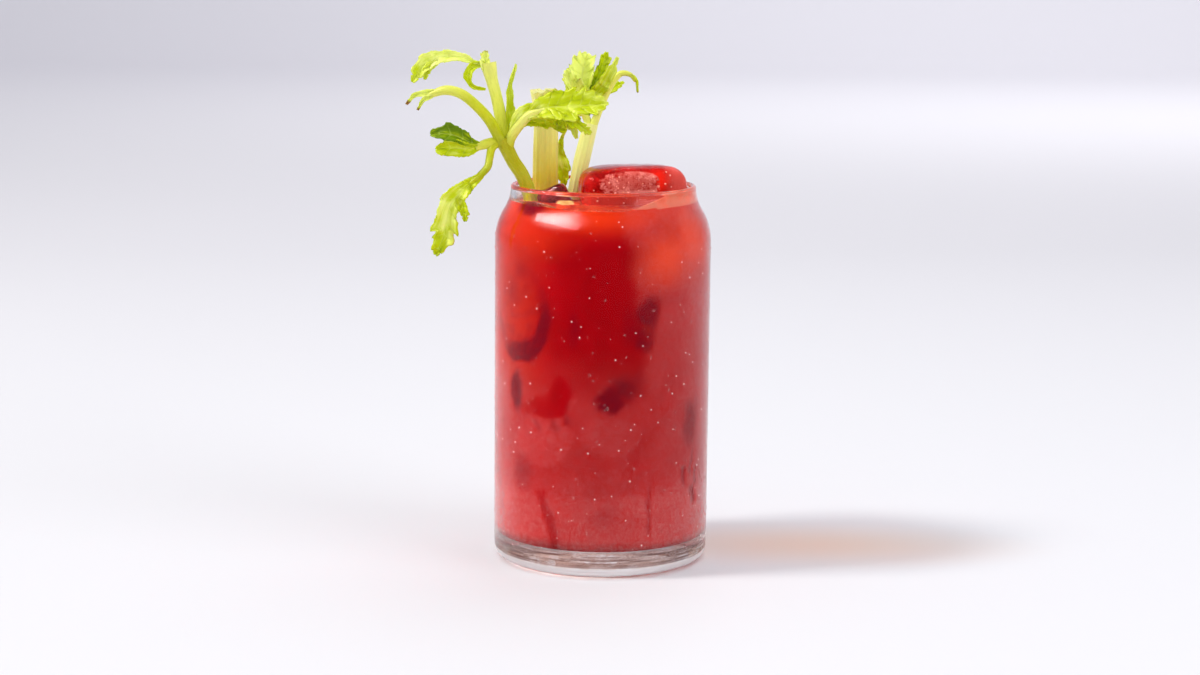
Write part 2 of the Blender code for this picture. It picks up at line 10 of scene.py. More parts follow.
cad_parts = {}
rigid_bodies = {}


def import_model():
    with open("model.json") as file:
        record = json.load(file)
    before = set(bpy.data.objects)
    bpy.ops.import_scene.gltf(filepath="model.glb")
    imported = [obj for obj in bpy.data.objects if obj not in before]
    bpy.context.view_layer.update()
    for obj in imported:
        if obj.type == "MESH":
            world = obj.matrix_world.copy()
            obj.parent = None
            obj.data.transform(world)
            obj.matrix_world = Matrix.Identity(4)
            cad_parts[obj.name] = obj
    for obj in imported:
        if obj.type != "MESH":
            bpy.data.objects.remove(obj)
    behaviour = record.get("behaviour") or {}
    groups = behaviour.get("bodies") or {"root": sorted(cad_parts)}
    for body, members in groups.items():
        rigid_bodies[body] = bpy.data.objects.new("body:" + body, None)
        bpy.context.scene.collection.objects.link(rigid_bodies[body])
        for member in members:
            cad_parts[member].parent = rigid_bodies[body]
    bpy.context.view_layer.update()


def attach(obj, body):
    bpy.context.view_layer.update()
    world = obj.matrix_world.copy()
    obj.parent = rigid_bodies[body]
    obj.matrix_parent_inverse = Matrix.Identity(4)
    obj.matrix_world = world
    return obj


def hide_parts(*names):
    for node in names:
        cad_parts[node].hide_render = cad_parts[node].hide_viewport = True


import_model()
mm = 0.001  # lengths in the dictionaries are in millimetres, apart from the studio's, which are in metres


# small helpers for meshes

def smooth(low, high, value):
    share = np.clip((np.asarray(value, float) - low) / (high - low), 0.0, 1.0)
    return share * share * (3.0 - 2.0 * share)


def addToScene(name, data):
    made = bpy.data.objects.new(name, data)
    bpy.context.scene.collection.objects.link(made)
    return made


def makeObject(name, verts, faces):
    mesh = bpy.data.meshes.new(name)
    mesh.from_pydata([tuple(v) for v in np.asarray(verts) * mm], [], faces)
    mesh.update()
    mesh.shade_smooth()
    return addToScene(name, mesh)


def fixNormals(piece):
    bm = bmesh.new()
    bm.from_mesh(piece.data)
    bmesh.ops.recalc_face_normals(bm, faces=bm.faces)
    bm.to_mesh(piece.data)
    bm.free()


def setFloat(piece, name, values):
    layer = piece.data.attributes.new(name, "FLOAT", "POINT")
    layer.data.foreach_set("value", np.asarray(values, np.float32))


def setVector(piece, name, values):
    layer = piece.data.attributes.new(name, "FLOAT_VECTOR", "POINT")
    layer.data.foreach_set("vector", np.asarray(values, np.float32).ravel())


def places(piece):
    flat = np.zeros(len(piece.data.vertices) * 3, np.float32)
    piece.data.vertices.foreach_get("co", flat)
    return flat.reshape(-1, 3).astype(float) / mm


def movePoints(piece, points):
    piece.data.vertices.foreach_set("co", (points * mm).astype(np.float32).ravel())
    piece.data.update()


def faceMiddles(piece):
    flat = np.zeros(len(piece.data.polygons) * 3, np.float32)
    piece.data.polygons.foreach_get("center", flat)
    return flat.reshape(-1, 3) / mm


def setFinishes(piece, indices):  # which of the piece's materials each face takes
    piece.data.polygons.foreach_set("material_index", indices.astype(np.int32))


def within(values, span):
    return (values > span[0]) & (values < span[1])


def joined(name, pieces):
    for item in bpy.context.view_layer.objects:
        item.select_set(False)
    for piece in pieces:
        piece.select_set(True)
    bpy.context.view_layer.objects.active = pieces[0]
    bpy.ops.object.join()
    whole = bpy.context.view_layer.objects.active
    whole.name = name
    whole.data.name = name
    return whole


def frozen(piece):  # the evaluated shape as a plain mesh, with its modifiers gone
    bpy.context.view_layer.update()
    graph = bpy.context.evaluated_depsgraph_get()
    mesh = bpy.data.meshes.new_from_object(piece.evaluated_get(graph))
    piece.modifiers.clear()
    piece.data = mesh
    mesh.shade_smooth()
    return piece


# small helpers for node trees

def addNode(tree, kind, inputs=None, **settings):
    node = tree.nodes.new(kind)
    for key, value in settings.items():
        setattr(node, key, value)
    for key, value in (inputs or {}).items():
        feed(tree, value, node.inputs[key])
    return node


def feed(tree, value, socket):
    if isinstance(value, bpy.types.NodeSocket):
        tree.links.new(value, socket)
    else:
        socket.default_value = value


def calc(tree, operation, *values):
    node = tree.nodes.new("ShaderNodeMath")
    node.operation = operation
    for i, value in enumerate(values):
        feed(tree, value, node.inputs[i])
    return node.outputs[0]


def vectorCalc(tree, operation, *values):
    node = tree.nodes.new("ShaderNodeVectorMath")
    node.operation = operation
    for i, value in enumerate(values):
        feed(tree, value, node.inputs[i])
    return node.outputs["Value" if operation == "LENGTH" else "Vector"]


def between(tree, value, low, high, start=0.0, end=1.0):
    node = addNode(tree, "ShaderNodeMapRange", interpolation_type="SMOOTHSTEP")
    limits = {"Value": value, "From Min": low, "From Max": high, "To Min": start, "To Max": end}
    for key, item in limits.items():
        feed(tree, item, node.inputs[key])
    return node.outputs[0]


def blendColour(tree, share, first, second):
    node = tree.nodes.new("ShaderNodeMix")
    node.data_type = "RGBA"
    feed(tree, share, node.inputs[0])
    for value, socket in ((first, node.inputs[6]), (second, node.inputs[7])):
        feed(tree, value if isinstance(value, bpy.types.NodeSocket) else (*value, 1.0), socket)
    return node.outputs[2]


def readFloat(tree, name):
    return addNode(tree, "ShaderNodeAttribute", attribute_name=name).outputs["Fac"]


def newMaterial(name):
    material = bpy.data.materials.new(name)
    material.use_nodes = True
    tree = material.node_tree
    return material, tree, tree.nodes["Principled BSDF"]


def plainInputs(shader, **values):
    names = {
        "colour": "Base Color", "roughness": "Roughness", "transmission": "Transmission Weight",
        "ior": "IOR", "specular": "Specular IOR Level", "coat": "Coat Weight",
        "coatRoughness": "Coat Roughness", "specularTint": "Specular Tint",
        "subsurface": "Subsurface Weight", "subsurfaceScale": "Subsurface Scale",
    }
    for key, value in values.items():
        shader.inputs[names[key]].default_value = (*value, 1.0) if isinstance(value, tuple) else value


def paint(tree, shader, colour):
    tree.links.new(colour, shader.inputs["Base Color"])


def roughen(tree, shader, value, low, high):  # roughness runs from low to high with the value
    tree.links.new(between(tree, value, 0.0, 1.0, low, high), shader.inputs["Roughness"])


def addBump(tree, shader, height, distance, strength=1.0):
    bump = addNode(tree, "ShaderNodeBump", {"Height": height, "Distance": distance, "Strength": strength})
    tree.links.new(bump.outputs["Normal"], shader.inputs["Normal"])


def lampsThrough(tree, shader, share, tint=(1.0, 1.0, 1.0)):  # lets the lamps light what is behind
    path = addNode(tree, "ShaderNodeLightPath")
    clear = addNode(tree, "ShaderNodeBsdfTransparent", {"Color": (*tint, 1.0)})
    mix = addNode(tree, "ShaderNodeMixShader")
    tree.links.new(calc(tree, "MULTIPLY", path.outputs["Is Shadow Ray"], share), mix.inputs[0])
    tree.links.new(shader.outputs[0], mix.inputs[1])
    tree.links.new(clear.outputs[0], mix.inputs[2])
    tree.links.new(mix.outputs[0], tree.nodes["Material Output"].inputs["Surface"])


def newGroup(name, inputs, outputs):  # a shared effect whose inputs and outputs are all plain numbers
    group = bpy.data.node_groups.new(name, "ShaderNodeTree")
    for title, value in inputs.items():
        socket = group.interface.new_socket(title, in_out="INPUT", socket_type="NodeSocketFloat")
        socket.default_value = value
    for title in outputs:
        group.interface.new_socket(title, in_out="OUTPUT", socket_type="NodeSocketFloat")
    return group, group.nodes.new("NodeGroupInput"), group.nodes.new("NodeGroupOutput")


def useGroup(tree, group, **inputs):
    node = tree.nodes.new("ShaderNodeGroup")
    node.node_tree = group
    for key, value in inputs.items():
        feed(tree, value, node.inputs[key])
    return node


def newShapeTree(name, inputs):  # a geometry tree that takes a shape and the named inputs
    tree = bpy.data.node_groups.new(name, "GeometryNodeTree")
    tree.interface.new_socket("Geometry", in_out="INPUT", socket_type="NodeSocketGeometry")
    for title, kind in inputs.items():
        tree.interface.new_socket(title, in_out="INPUT", socket_type="NodeSocket" + kind)
    tree.interface.new_socket("Geometry", in_out="OUTPUT", socket_type="NodeSocketGeometry")
    return tree, tree.nodes.new("NodeGroupInput").outputs, tree.nodes.new("NodeGroupOutput").inputs


def endShapeTree(tree, shape, material, end):
    real = addNode(tree, "GeometryNodeRealizeInstances", {"Geometry": shape})
    finish = addNode(tree, "GeometryNodeSetMaterial", {"Geometry": real.outputs[0], "Material": material})
    tree.links.new(finish.outputs[0], end[0])


def shapedBy(piece, tree, values):  # the tree's inputs are set before it runs, then it is made plain
    modifier = piece.modifiers.new(tree.name, "NODES")
    modifier.node_group = tree
    for socket in tree.interface.items_tree:
        if socket.item_type == "SOCKET" and socket.in_out == "INPUT" and socket.name in values:
            modifier[socket.identifier] = values[socket.name]
    return frozen(piece)


def makeMottleGroup():  # soft clouds with fine grain in them
    group, start, end = newGroup(
        "mottle",
        {"Scale": 300.0, "Grain": 0.3, "Low": 0.3, "High": 0.7},
        ("Mask", "Height"),
    )
    where = addNode(group, "ShaderNodeTexCoord").outputs["Object"]
    size = start.outputs["Scale"]
    large = addNode(group, "ShaderNodeTexNoise", {"Vector": where, "Scale": size, "Detail": 3.0})
    fineScale = calc(group, "MULTIPLY", start.outputs["Scale"], 6.0)
    fine = addNode(group, "ShaderNodeTexNoise", {"Vector": where, "Scale": fineScale, "Detail": 2.0})
    grain = calc(group, "MULTIPLY", calc(group, "SUBTRACT", fine.outputs[0], 0.5), start.outputs["Grain"])
    total = calc(group, "ADD", large.outputs[0], grain)
    mask = between(group, total, start.outputs["Low"], start.outputs["High"])
    group.links.new(mask, end.inputs["Mask"])
    group.links.new(total, end.inputs["Height"])
    return group


def makeFibreGroup():  # streaks that run along a stalk
    group, start, end = newGroup(
        "fibre",
        {"Along": 0.0, "Around": 0.0, "Lines": 40.0},
        ("Streak", "Height"),
    )
    across = calc(group, "MULTIPLY", start.outputs["Around"], start.outputs["Lines"])
    slow = calc(group, "MULTIPLY", start.outputs["Along"], 5.0)
    where = addNode(group, "ShaderNodeCombineXYZ", {"X": across, "Y": slow}).outputs[0]
    look = {"Vector": where, "Scale": 1.0, "Detail": 4.0, "Roughness": 0.65}
    lines = addNode(group, "ShaderNodeTexNoise", look)
    streak = between(group, lines.outputs[0], 0.34, 0.68)
    group.links.new(streak, end.inputs["Streak"])
    group.links.new(lines.outputs[0], end.inputs["Height"])
    return group


mottle = makeMottleGroup()
fibre = makeFibreGroup()


# studio: pale floor that sweeps up, soft lights, the camera

studio = {
    "cameraPlace": (0.0, -0.8, 0.2145), "pitch": 9.663, "yaw": 0.051, "roll": 0.556, "lens": 68.63,
    "floorFront": -3.0, "sweepStart": 3.2, "sweepRadius": 1.2, "sweepHeight": 3.5, "floorHalf": 4.5,
    "below": -0.0003, "floorSteps": 24, "sweepTurns": (6, 90, 15), "floorRoughness": 0.7,
    # left, near, middle and far are floor colours with painted shade: darker at the left and at the back
    "floorSpecular": 0.1, "left": (0.78, 0.775, 0.80), "near": (0.83, 0.825, 0.85),
    "leftToNear": (-0.3, 0.05), "middle": (0.84, 0.825, 0.86), "nearToMiddle": (0.0, 1.1),
    # the glow entries paint the drink's shadow on the floor, tinted orange by painted light through the drink
    "far": (0.80, 0.785, 0.84), "middleToFar": (0.9, 4.2), "glowPlace": (0.078, 0.014, 0.0),
    "glowHalf": (0.095, 0.040, 1.0), "glowColour": (0.86, 0.63, 0.50), "glowShare": 0.75,
    "airColour": (0.95, 0.96, 1.0), "airStrength": 0.6, "lampsAim": (0.0, 0.0, 0.07),
    "washPlace": (0.9, 1.9, 1.7), "washAim": (0.7, 4.3, 0.3), "washPower": 26.0, "washSize": 1.2,
}
lamps = {  # azimuth from the front, height angle, distance, width, height, power, colour, what it lights
    "keyLeft": (-78, 50, 1.6, 0.25, 0.25, 13.3, (1.0, 0.98, 0.95), "all"),
    "softBox": (-63, 44, 1.1, 1.0, 0.24, 22.0, (1.0, 0.99, 0.98), "gloss"),
    "backTop": (150, 58, 1.6, 1.2, 1.0, 4.0, (0.96, 0.97, 1.0), "all"),
    "fillRight": (58, 24, 1.5, 0.9, 0.9, 8.0, (0.97, 0.98, 1.0), "matt"),
}


def setCamera():
    data = bpy.data.cameras.new("photoCamera")
    data.lens = studio["lens"]
    data.sensor_width = 36.0
    camera = addToScene("photoCamera", data)
    turn = Matrix.Rotation(math.radians(studio["yaw"]), 4, "Z")
    tip = Matrix.Rotation(math.radians(90.0 - studio["pitch"]), 4, "X")
    lean = Matrix.Rotation(math.radians(studio["roll"]), 4, "Z")
    camera.matrix_world = Matrix.Translation(Vector(studio["cameraPlace"])) @ turn @ tip @ lean
    bpy.context.scene.camera = camera


def addLamp(name, place, outward, power):
    data = bpy.data.lights.new(name, "AREA")
    data.energy = power
    lamp = addToScene(name, data)
    lamp.location = place
    lamp.rotation_euler = outward.to_track_quat("Z", "Y").to_euler()
    return lamp


def setLamps():
    for name, (azimuth, height, distance, width, tall, power, colour, lights) in lamps.items():
        turn, rise = math.radians(azimuth), math.radians(height)
        out = Vector((math.sin(turn) * math.cos(rise), -math.cos(turn) * math.cos(rise), math.sin(rise)))
        lamp = addLamp(name, Vector(studio["lampsAim"]) + out * distance, out, power)
        lamp.data.shape = "RECTANGLE"
        lamp.data.size = width
        lamp.data.size_y = tall
        lamp.data.color = colour
        lamp.visible_diffuse = lights != "gloss"
        lamp.visible_transmission = lights != "gloss"
        lamp.visible_glossy = lights != "matt"
    place = Vector(studio["washPlace"])
    wash = addLamp("backWash", place, place - Vector(studio["washAim"]), studio["washPower"])
    wash.data.size = studio["washSize"]


def setAir():
    world = bpy.data.worlds.new("softAir")
    world.use_nodes = True
    sky = world.node_tree.nodes["Background"]
    sky.inputs["Color"].default_value = (*studio["airColour"], 1.0)
    sky.inputs["Strength"].default_value = studio["airStrength"]
    bpy.context.scene.world = world
    bpy.context.scene.view_settings.view_transform = "Standard"


def floorMaterial():
    look = studio
    material, tree, shader = newMaterial("paleFloor")
    where = addNode(tree, "ShaderNodeTexCoord").outputs["Object"]
    across, depth, _ = addNode(tree, "ShaderNodeSeparateXYZ", {"Vector": where}).outputs
    # painted shade: the floor's colour is darker towards the left and towards the back
    near = blendColour(tree, between(tree, across, *look["leftToNear"]), look["left"], look["near"])
    away = vectorCalc(tree, "SUBTRACT", where, look["glowPlace"])
    away = vectorCalc(tree, "LENGTH", vectorCalc(tree, "DIVIDE", away, look["glowHalf"]))
    glow = between(tree, away, 0.0, 1.0, look["glowShare"], 0.0)
    near = blendColour(tree, glow, near, look["glowColour"])  # painted shadow of the drink, tinted by painted light that comes through it
    colour = blendColour(tree, between(tree, depth, *look["nearToMiddle"]), near, look["middle"])
    colour = blendColour(tree, between(tree, depth, *look["middleToFar"]), colour, look["far"])
    paint(tree, shader, colour)
    plainInputs(shader, roughness=look["floorRoughness"], specular=look["floorSpecular"])
    return material


def makeFloor():
    start, radius = studio["sweepStart"], studio["sweepRadius"]
    line = [(y, 0.0) for y in np.linspace(studio["floorFront"], start, studio["floorSteps"])]
    for turn in np.radians(np.linspace(*studio["sweepTurns"])):
        line.append((start + radius * math.sin(turn), radius * (1 - math.cos(turn))))
    line.append((start + radius, studio["sweepHeight"]))
    half = studio["floorHalf"]
    verts = [(x / mm, y / mm, (z + studio["below"]) / mm) for y, z in line for x in (-half, half)]
    faces = [(2 * i, 2 * i + 1, 2 * i + 3, 2 * i + 2) for i in range(len(line) - 1)]
    floor = makeObject("floor", verts, faces)
    floor.data.materials.append(floorMaterial())


setCamera()
setLamps()
setAir()
makeFloor()
print("studio ready")


# glass: the wall's line, shared by the glass, the drink and the mist

glassShape = {
    "height": 133.0, "bodyRadius": 38.0, "wall": 1.9, "base": 9.0, "heelRadius": 4.0, "innerCorner": 4.0,
    "shoulderStart": 113.0, "shoulderRadius": 21.5, "neckRadius": 15.1, "shoulderTurn": 32.0, "steps": 192,
    "flatRings": (0.0, 12.0, 24.0, 31.0), "floorRings": (24.0, 12.0, 0.0), "cornerSteps": 10, "lipSteps": 12,
    "fogFoot": (8.5, 11), "fogTop": (125, 129), "fogEven": 0.8, "fogByMist": 4.0,
    # the painted reflection of the drink in the base lies between the foot and top heights; edge paints a
    # dark line along the bottom edge
    "paintedReflectionFoot": (3.2, 4.4), "paintedReflectionTop": (9.3, 11), "edgeRise": (0.25, 0.7), "edgeReach": (32, 33.5),
    "sideFaces": (7, 128.5), "heelFaces": (0.6, 3.9), "heelReach": 33,
}
glassFinishes = {  # bending of light, tint of the gloss, share let through, coat
    "clearGlass": (1.5, (0.5, 0.36, 0.36), 1.0, 0.0),
    "foggedGlass": (1.42, (0.5, 0.08, 0.09), 1.0, 0.0),
    # paleHeel lets half through and is white for the rest: a painted bright band where the heel would bend
    # the floor's light
    "paleHeel": (1.5, (1.0, 1.0, 1.0), 0.5, 1.0),
}
# darkBand and paleBand paint the drink's reflection in the thick base, and glint paints glints on it; clear
# is the glass's own colour
glassColours = {
    "clear": (0.985, 0.99, 0.99), "glint": (1.0, 0.98, 0.95),
    "darkBand": (0.14, 0.032, 0.020), "paleBand": (1.0, 0.66, 0.52),
}
shoulderTurn = math.radians(glassShape["shoulderTurn"])
bothBends = glassShape["shoulderRadius"] + glassShape["neckRadius"]
neckTop = glassShape["shoulderStart"] + bothBends * math.sin(shoulderTurn)
lipRadius = glassShape["bodyRadius"] - bothBends * (1 - math.cos(shoulderTurn))


def wallRadius(height, inset=0.0):  # radius of the glass's side at a height, moved in by inset
    shape = glassShape
    height = np.asarray(height, float)
    bend = shape["shoulderRadius"] - inset
    rise = np.clip(height - shape["shoulderStart"], 0.0, bend * math.sin(shoulderTurn))
    shoulder = shape["bodyRadius"] - shape["shoulderRadius"] + np.sqrt(bend**2 - rise**2)
    drop = np.clip(neckTop - height, 0.0, (shape["neckRadius"] + inset) * math.sin(shoulderTurn))
    neck = lipRadius + shape["neckRadius"] - np.sqrt((shape["neckRadius"] + inset) ** 2 - drop**2)
    meet = shape["shoulderStart"] + bend * math.sin(shoulderTurn)
    return np.where(height < meet, shoulder, neck)


def arcPoints(middle, radius, start, end, steps):
    turns = np.radians(np.linspace(start, end, steps + 1))
    return [(middle[0] + radius * math.cos(a), middle[1] + radius * math.sin(a)) for a in turns]


def sidePoints(bottom, top, inset, step=1.0):
    heights = np.linspace(bottom, top, max(2, int((top - bottom) / step) + 1))
    return [(float(wallRadius(z, inset)), float(z)) for z in heights]


def turnedPiece(name, lines):  # lines of (radius, height), one for each turn, each from pole to pole
    steps, count = len(lines), len(lines[0])
    turns = np.arange(steps) * math.tau / steps
    verts = [(0.0, 0.0, lines[0][0][1]), (0.0, 0.0, lines[0][-1][1])]
    for turn, line in zip(turns, lines):
        for radius, height in line[1:-1]:
            verts.append((radius * math.sin(turn), -radius * math.cos(turn), height))
    rows = count - 2
    faces = []
    for i in range(steps):
        here, there = 2 + i * rows, 2 + (i + 1) % steps * rows
        faces.append((0, there, here))
        faces.append((1, here + rows - 1, there + rows - 1))
        for j in range(rows - 1):
            faces.append((here + j, there + j, there + j + 1, here + j + 1))
    piece = makeObject(name, verts, faces)
    fixNormals(piece)
    return piece


def sheetAround(name, bottom, top, inset, steps, step=1.0):  # open band that lies on the glass's side
    line = sidePoints(bottom, top, inset, step)
    rows = len(line)
    verts = []
    for turn in np.arange(steps) * math.tau / steps:
        verts += [(r * math.sin(turn), -r * math.cos(turn), z) for r, z in line]
    faces = []
    for i in range(steps):
        here, there = i * rows, (i + 1) % steps * rows
        faces += [(here + j, there + j, there + j + 1, here + j + 1) for j in range(rows - 1)]
    return makeObject(name, verts, faces)


def azimuthOf(points):  # degrees from the front, to the right
    return np.degrees(np.arctan2(points[:, 0], -points[:, 1]))


# what shows on the side: mist on the glass, ice that presses against it, painted light in the drink

sideLook = {
    "mmPerDegree": 0.63,
    "ring": dict(at=(-50.5, 90.7), half=(14.2, 16.8), hollow=(12.2, 13.6), hollowShift=(-2.0, 3.0),
                 darkTurn=-50, inner=(0.88, 1.08), outer=(0.94, 1.07), pale=0.3, deep=0.7, veil=0.2,
                 veilFades=(0.7, 1.0)),
    # dark marks ice pressed against the glass; its darkness is painted shade, the shaded inside of the drink
    # seen through the ice
    "dark": [  # azimuth, height, half width, half height, softness, strength
        (-52, 63, 3.6, 6.8, 0.5, 1.0), (5.5, 63.5, 5.4, 4.8, 0.4, 1.0), (13, 66.5, 6.5, 5.5, 0.8, 0.8),
        (-1, 64, 2.4, 2.2, 0.6, 0.8), (20, 70, 4.0, 4.0, 0.9, 0.35), (25, 92, 4.6, 6.5, 0.5, 0.85),
        (23, 84, 4.8, 5.2, 0.5, 0.75), (16, 88, 3.6, 7.0, 0.7, 0.4), (-15, 87, 2.6, 7.4, 0.7, 0.55),
        (55, 52, 3.8, 8.5, 0.6, 0.62), (60, 57, 2.8, 5.0, 0.8, 0.3), (-47, 34, 5.0, 6.0, 0.9, 0.4),
        (-49, 127.2, 8.5, 4.0, 0.6, 0.95), (2, 22, 5.0, 4.0, 0.9, 0.2), (36, 121, 7.0, 5.0, 0.9, 0.12),
        (-48, 104, 5.0, 3.5, 0.9, 0.4), (-56, 98, 3.5, 5.0, 0.9, 0.3),
    ],
    # glow: painted light, orange patches where lamp light would shine through the drink
    "glow": [
        (-58, 118, 26.0, 9.0, 0.8, 0.4), (38, 111, 12.0, 11.0, 0.95, 0.95), (58, 116, 15.0, 13.0, 0.9, 0.85),
        (23.6, 87.2, 1.6, 1.8, 0.7, 0.9), (-48, 94, 6.0, 9.0, 0.8, 0.2), (40, 119, 8.0, 8.0, 0.9, 0.55),
    ],
    "clear": [
        (-14, 97, 20.0, 21.0, 0.35, 1.0), (-23.5, 63.3, 4.4, 6.6, 0.14, 1.0),
        (-29, 59.3, 6.8, 4.0, 0.14, 0.95), (-39, 57.6, 7.0, 2.0, 0.35, 0.7), (-46, 92, 6.0, 12.0, 0.6, 0.5),
        (64, 113, 5.0, 15.0, 0.8, 0.6),
    ],
    "patches": [
        (-34, 47.5, 12.5, 9.5, 0.12, 0.014), (6, 50, 9.5, 8.0, 0.12, 0.009), (29, 27, 13.0, 5.5, 0.2, 0.008),
    ],
    "drips": [  # points (azimuth, height) from top to bottom, half width, strength
        ([(-33, 30), (-30.5, 22), (-27, 15), (-25.5, 8)], 2.0, 0.85),
        ([(25, 32), (26, 24), (28, 16)], 0.75, 0.8), ([(51, 38), (52, 30)], 0.8, 1.6),
        ([(57, 43), (57.5, 34)], 0.8, 1.8), ([(62, 36), (62.5, 30)], 0.8, 1.6),
        ([(59, 29), (59.5, 24)], 1.1, 1.8), ([(118, 60), (121, 40), (119, 22)], 1.1, 0.6),
        ([(-140, 48), (-142, 20)], 1.2, 0.6), ([(168, 80), (171, 52)], 0.9, 0.6),
    ],
    "topGlow": 0.6, "topGlowRise": (116, 125), "leftGlow": 0.3, "leftGlowTurn": (-22, -60),
    "leftGlowRise": (50, 80), "leftGlowEnds": -110, "waver": ((9.0, 3.0), (8.0, 2.2)), "fineSize": 2.6,
    "fineShift": 0.7, "backSpots": 13, "backSeed": 12, "backStart": 88, "backSpan": 182,
    "backHeights": (28, 108), "backWidths": (2.6, 6.5), "backTalls": (4.0, 8.0), "backSoft": (0.4, 0.8),
    "backDark": (0.35, 0.85),
}
mistLook = {  # shares of cover; the pairs are heights in mm or turns in degrees between which it changes
    "even": 0.018, "cloudy": 0.007, "foot": 0.021, "footRise": (14, 46), "band": 0.011,
    "bandRise": (27.0, 30.0), "bandWave": 2.0, "left": 0.018, "leftTurn": (-38, -62), "leftRise": (80, 100),
    "leftEnds": -120, "right": 0.004, "rightTurn": (14, 34), "rightFades": (75, 100), "wiped": 0.95,
    "wipedRise": (60, 80), "wipedRight": (14, 24), "wipedLeft": (-95, -60), "slant": 0.25, "slantFrom": 95,
    "upper": 0.004, "upperTurn": (14, 30), "upperFades": (50, 80), "upperRise": (72, 95), "dripClears": 0.7,
    "dripClearsMost": 0.9, "bottomEdge": (5, 8.5), "topEdge": (128, 132), "darkClears": 0.85, "most": 0.4,
    "dripDark": 0.30, "dripDarkFrom": 0.4, "speck": 0.45, "speckGrain": (0.1, 0.5), "speckFoot": (49, 53),
    "speckTop": (56, 60), "speckTurn": (-54, -48), "speckEnds": -14,
}


def spotField(azimuth, height, spots, perDegree):
    field = np.zeros(len(azimuth))
    for at, level, halfWide, halfTall, softness, strength in spots:
        across = (azimuth - at + 180.0) % 360.0 - 180.0
        far = np.hypot(across * perDegree / halfWide, (height - level) / halfTall)
        field = np.maximum(field, strength * (1.0 - smooth(1.0 - softness, 1.0 + softness * 0.5, far)))
    return field


def backSpots():  # the back has sunk ice like the front, at seeded places
    look = sideLook
    draw = np.random.default_rng(look["backSeed"])
    spots = []
    for i in range(look["backSpots"]):
        at = look["backStart"] + (i + draw.uniform(-0.3, 0.3)) * look["backSpan"] / look["backSpots"]
        sizes = ("backHeights", "backWidths", "backTalls", "backSoft", "backDark")
        spots.append((at, *(draw.uniform(*look[size]) for size in sizes)))
    return spots


def wobble(azimuth, height, size, seed):
    turns = np.radians(azimuth)
    where = np.stack([np.sin(turns) * 36 / size, np.cos(turns) * 36 / size, height / size + seed], axis=1)
    return np.array([noise.noise(Vector(p)) for p in where])


def dripField(azimuth, height):
    field = np.zeros(len(azimuth))
    per = sideLook["mmPerDegree"]
    for line, half, strength in sideLook["drips"]:
        levels = [p[1] for p in line][::-1]
        middle = np.interp(height, levels, [p[0] for p in line][::-1])
        across = np.abs((azimuth - middle + 180) % 360 - 180) * per
        inside = smooth(levels[0] - 2, levels[0], height)
        inside = inside * (1 - smooth(levels[-1] - 1, levels[-1] + 1, height))
        field = np.maximum(field, strength * (1 - smooth(half * 0.7, half * 1.15, across)) * inside)
    return field


def ringField(azimuth, height, fine):  # a hollow piece of ice, darkest on one side of its ring
    ring, per = sideLook["ring"], sideLook["mmPerDegree"]
    across = (azimuth - ring["at"][0]) * per / ring["half"][0]
    rise = (height - ring["at"][1]) / ring["half"][1]
    far = np.hypot(across, rise)
    inward = (across * ring["half"][0] - ring["hollowShift"][0]) / ring["hollow"][0]
    upward = (rise * ring["half"][1] - ring["hollowShift"][1]) / ring["hollow"][1]
    band = smooth(*ring["inner"], np.hypot(inward, upward)) * (1 - smooth(*ring["outer"], far))
    toward = np.cos(np.arctan2(rise, across) - math.radians(ring["darkTurn"]))
    band = band * (ring["pale"] + ring["deep"] * smooth(0.0, 0.8, toward))
    veil = ring["veil"] * (1 - smooth(*ring["veilFades"], far)) * smooth(0.0, 0.4, fine)
    return np.maximum(band, veil)


def glowField(azimuth, height, az, up):  # painted light, where lamp light would come through the drink
    look = sideLook
    glow = spotField(az, up, look["glow"], look["mmPerDegree"])
    top = smooth(*look["topGlowRise"], height) * (0.6 + 0.4 * np.cos(np.radians(azimuth + 30)))
    left = smooth(*look["leftGlowTurn"], az) * smooth(*look["leftGlowRise"], height)
    left = left * (azimuth > look["leftGlowEnds"])
    return np.maximum(glow, np.maximum(look["topGlow"] * top, look["leftGlow"] * left))


def mistField(azimuth, height, az, up, shift):  # thick at the foot, wiped off in the upper middle
    look, per = mistLook, sideLook["mmPerDegree"]
    mist = look["even"] + look["cloudy"] * shift + look["foot"] * (1 - smooth(*look["footRise"], height))
    mist += look["band"] * (1 - smooth(*look["bandRise"], height + look["bandWave"] * shift))
    left = smooth(*look["leftTurn"], az) * (1 - smooth(*look["leftRise"], height))
    mist += look["left"] * left * (azimuth > look["leftEnds"])
    mist += look["right"] * smooth(*look["rightTurn"], az) * (1 - smooth(*look["rightFades"], azimuth))
    mist += spotField(az, up, sideLook["patches"], per)
    mist *= 1 - np.clip(spotField(az, up, sideLook["clear"], per), 0, 1)
    slanted = az + look["slant"] * (height - look["slantFrom"])
    wiped = smooth(*look["wipedRise"], up) * (1 - smooth(*look["wipedRight"], slanted))
    mist *= 1 - look["wiped"] * wiped * smooth(*look["wipedLeft"], azimuth)
    upper = smooth(*look["upperTurn"], slanted) * (1 - smooth(*look["upperFades"], azimuth))
    mist += look["upper"] * upper * smooth(*look["upperRise"], height)
    mist *= 1 - np.clip(look["dripClears"] * dripField(az, up), 0, look["dripClearsMost"])
    return mist * smooth(*look["bottomEdge"], height) * (1 - smooth(*look["topEdge"], height))


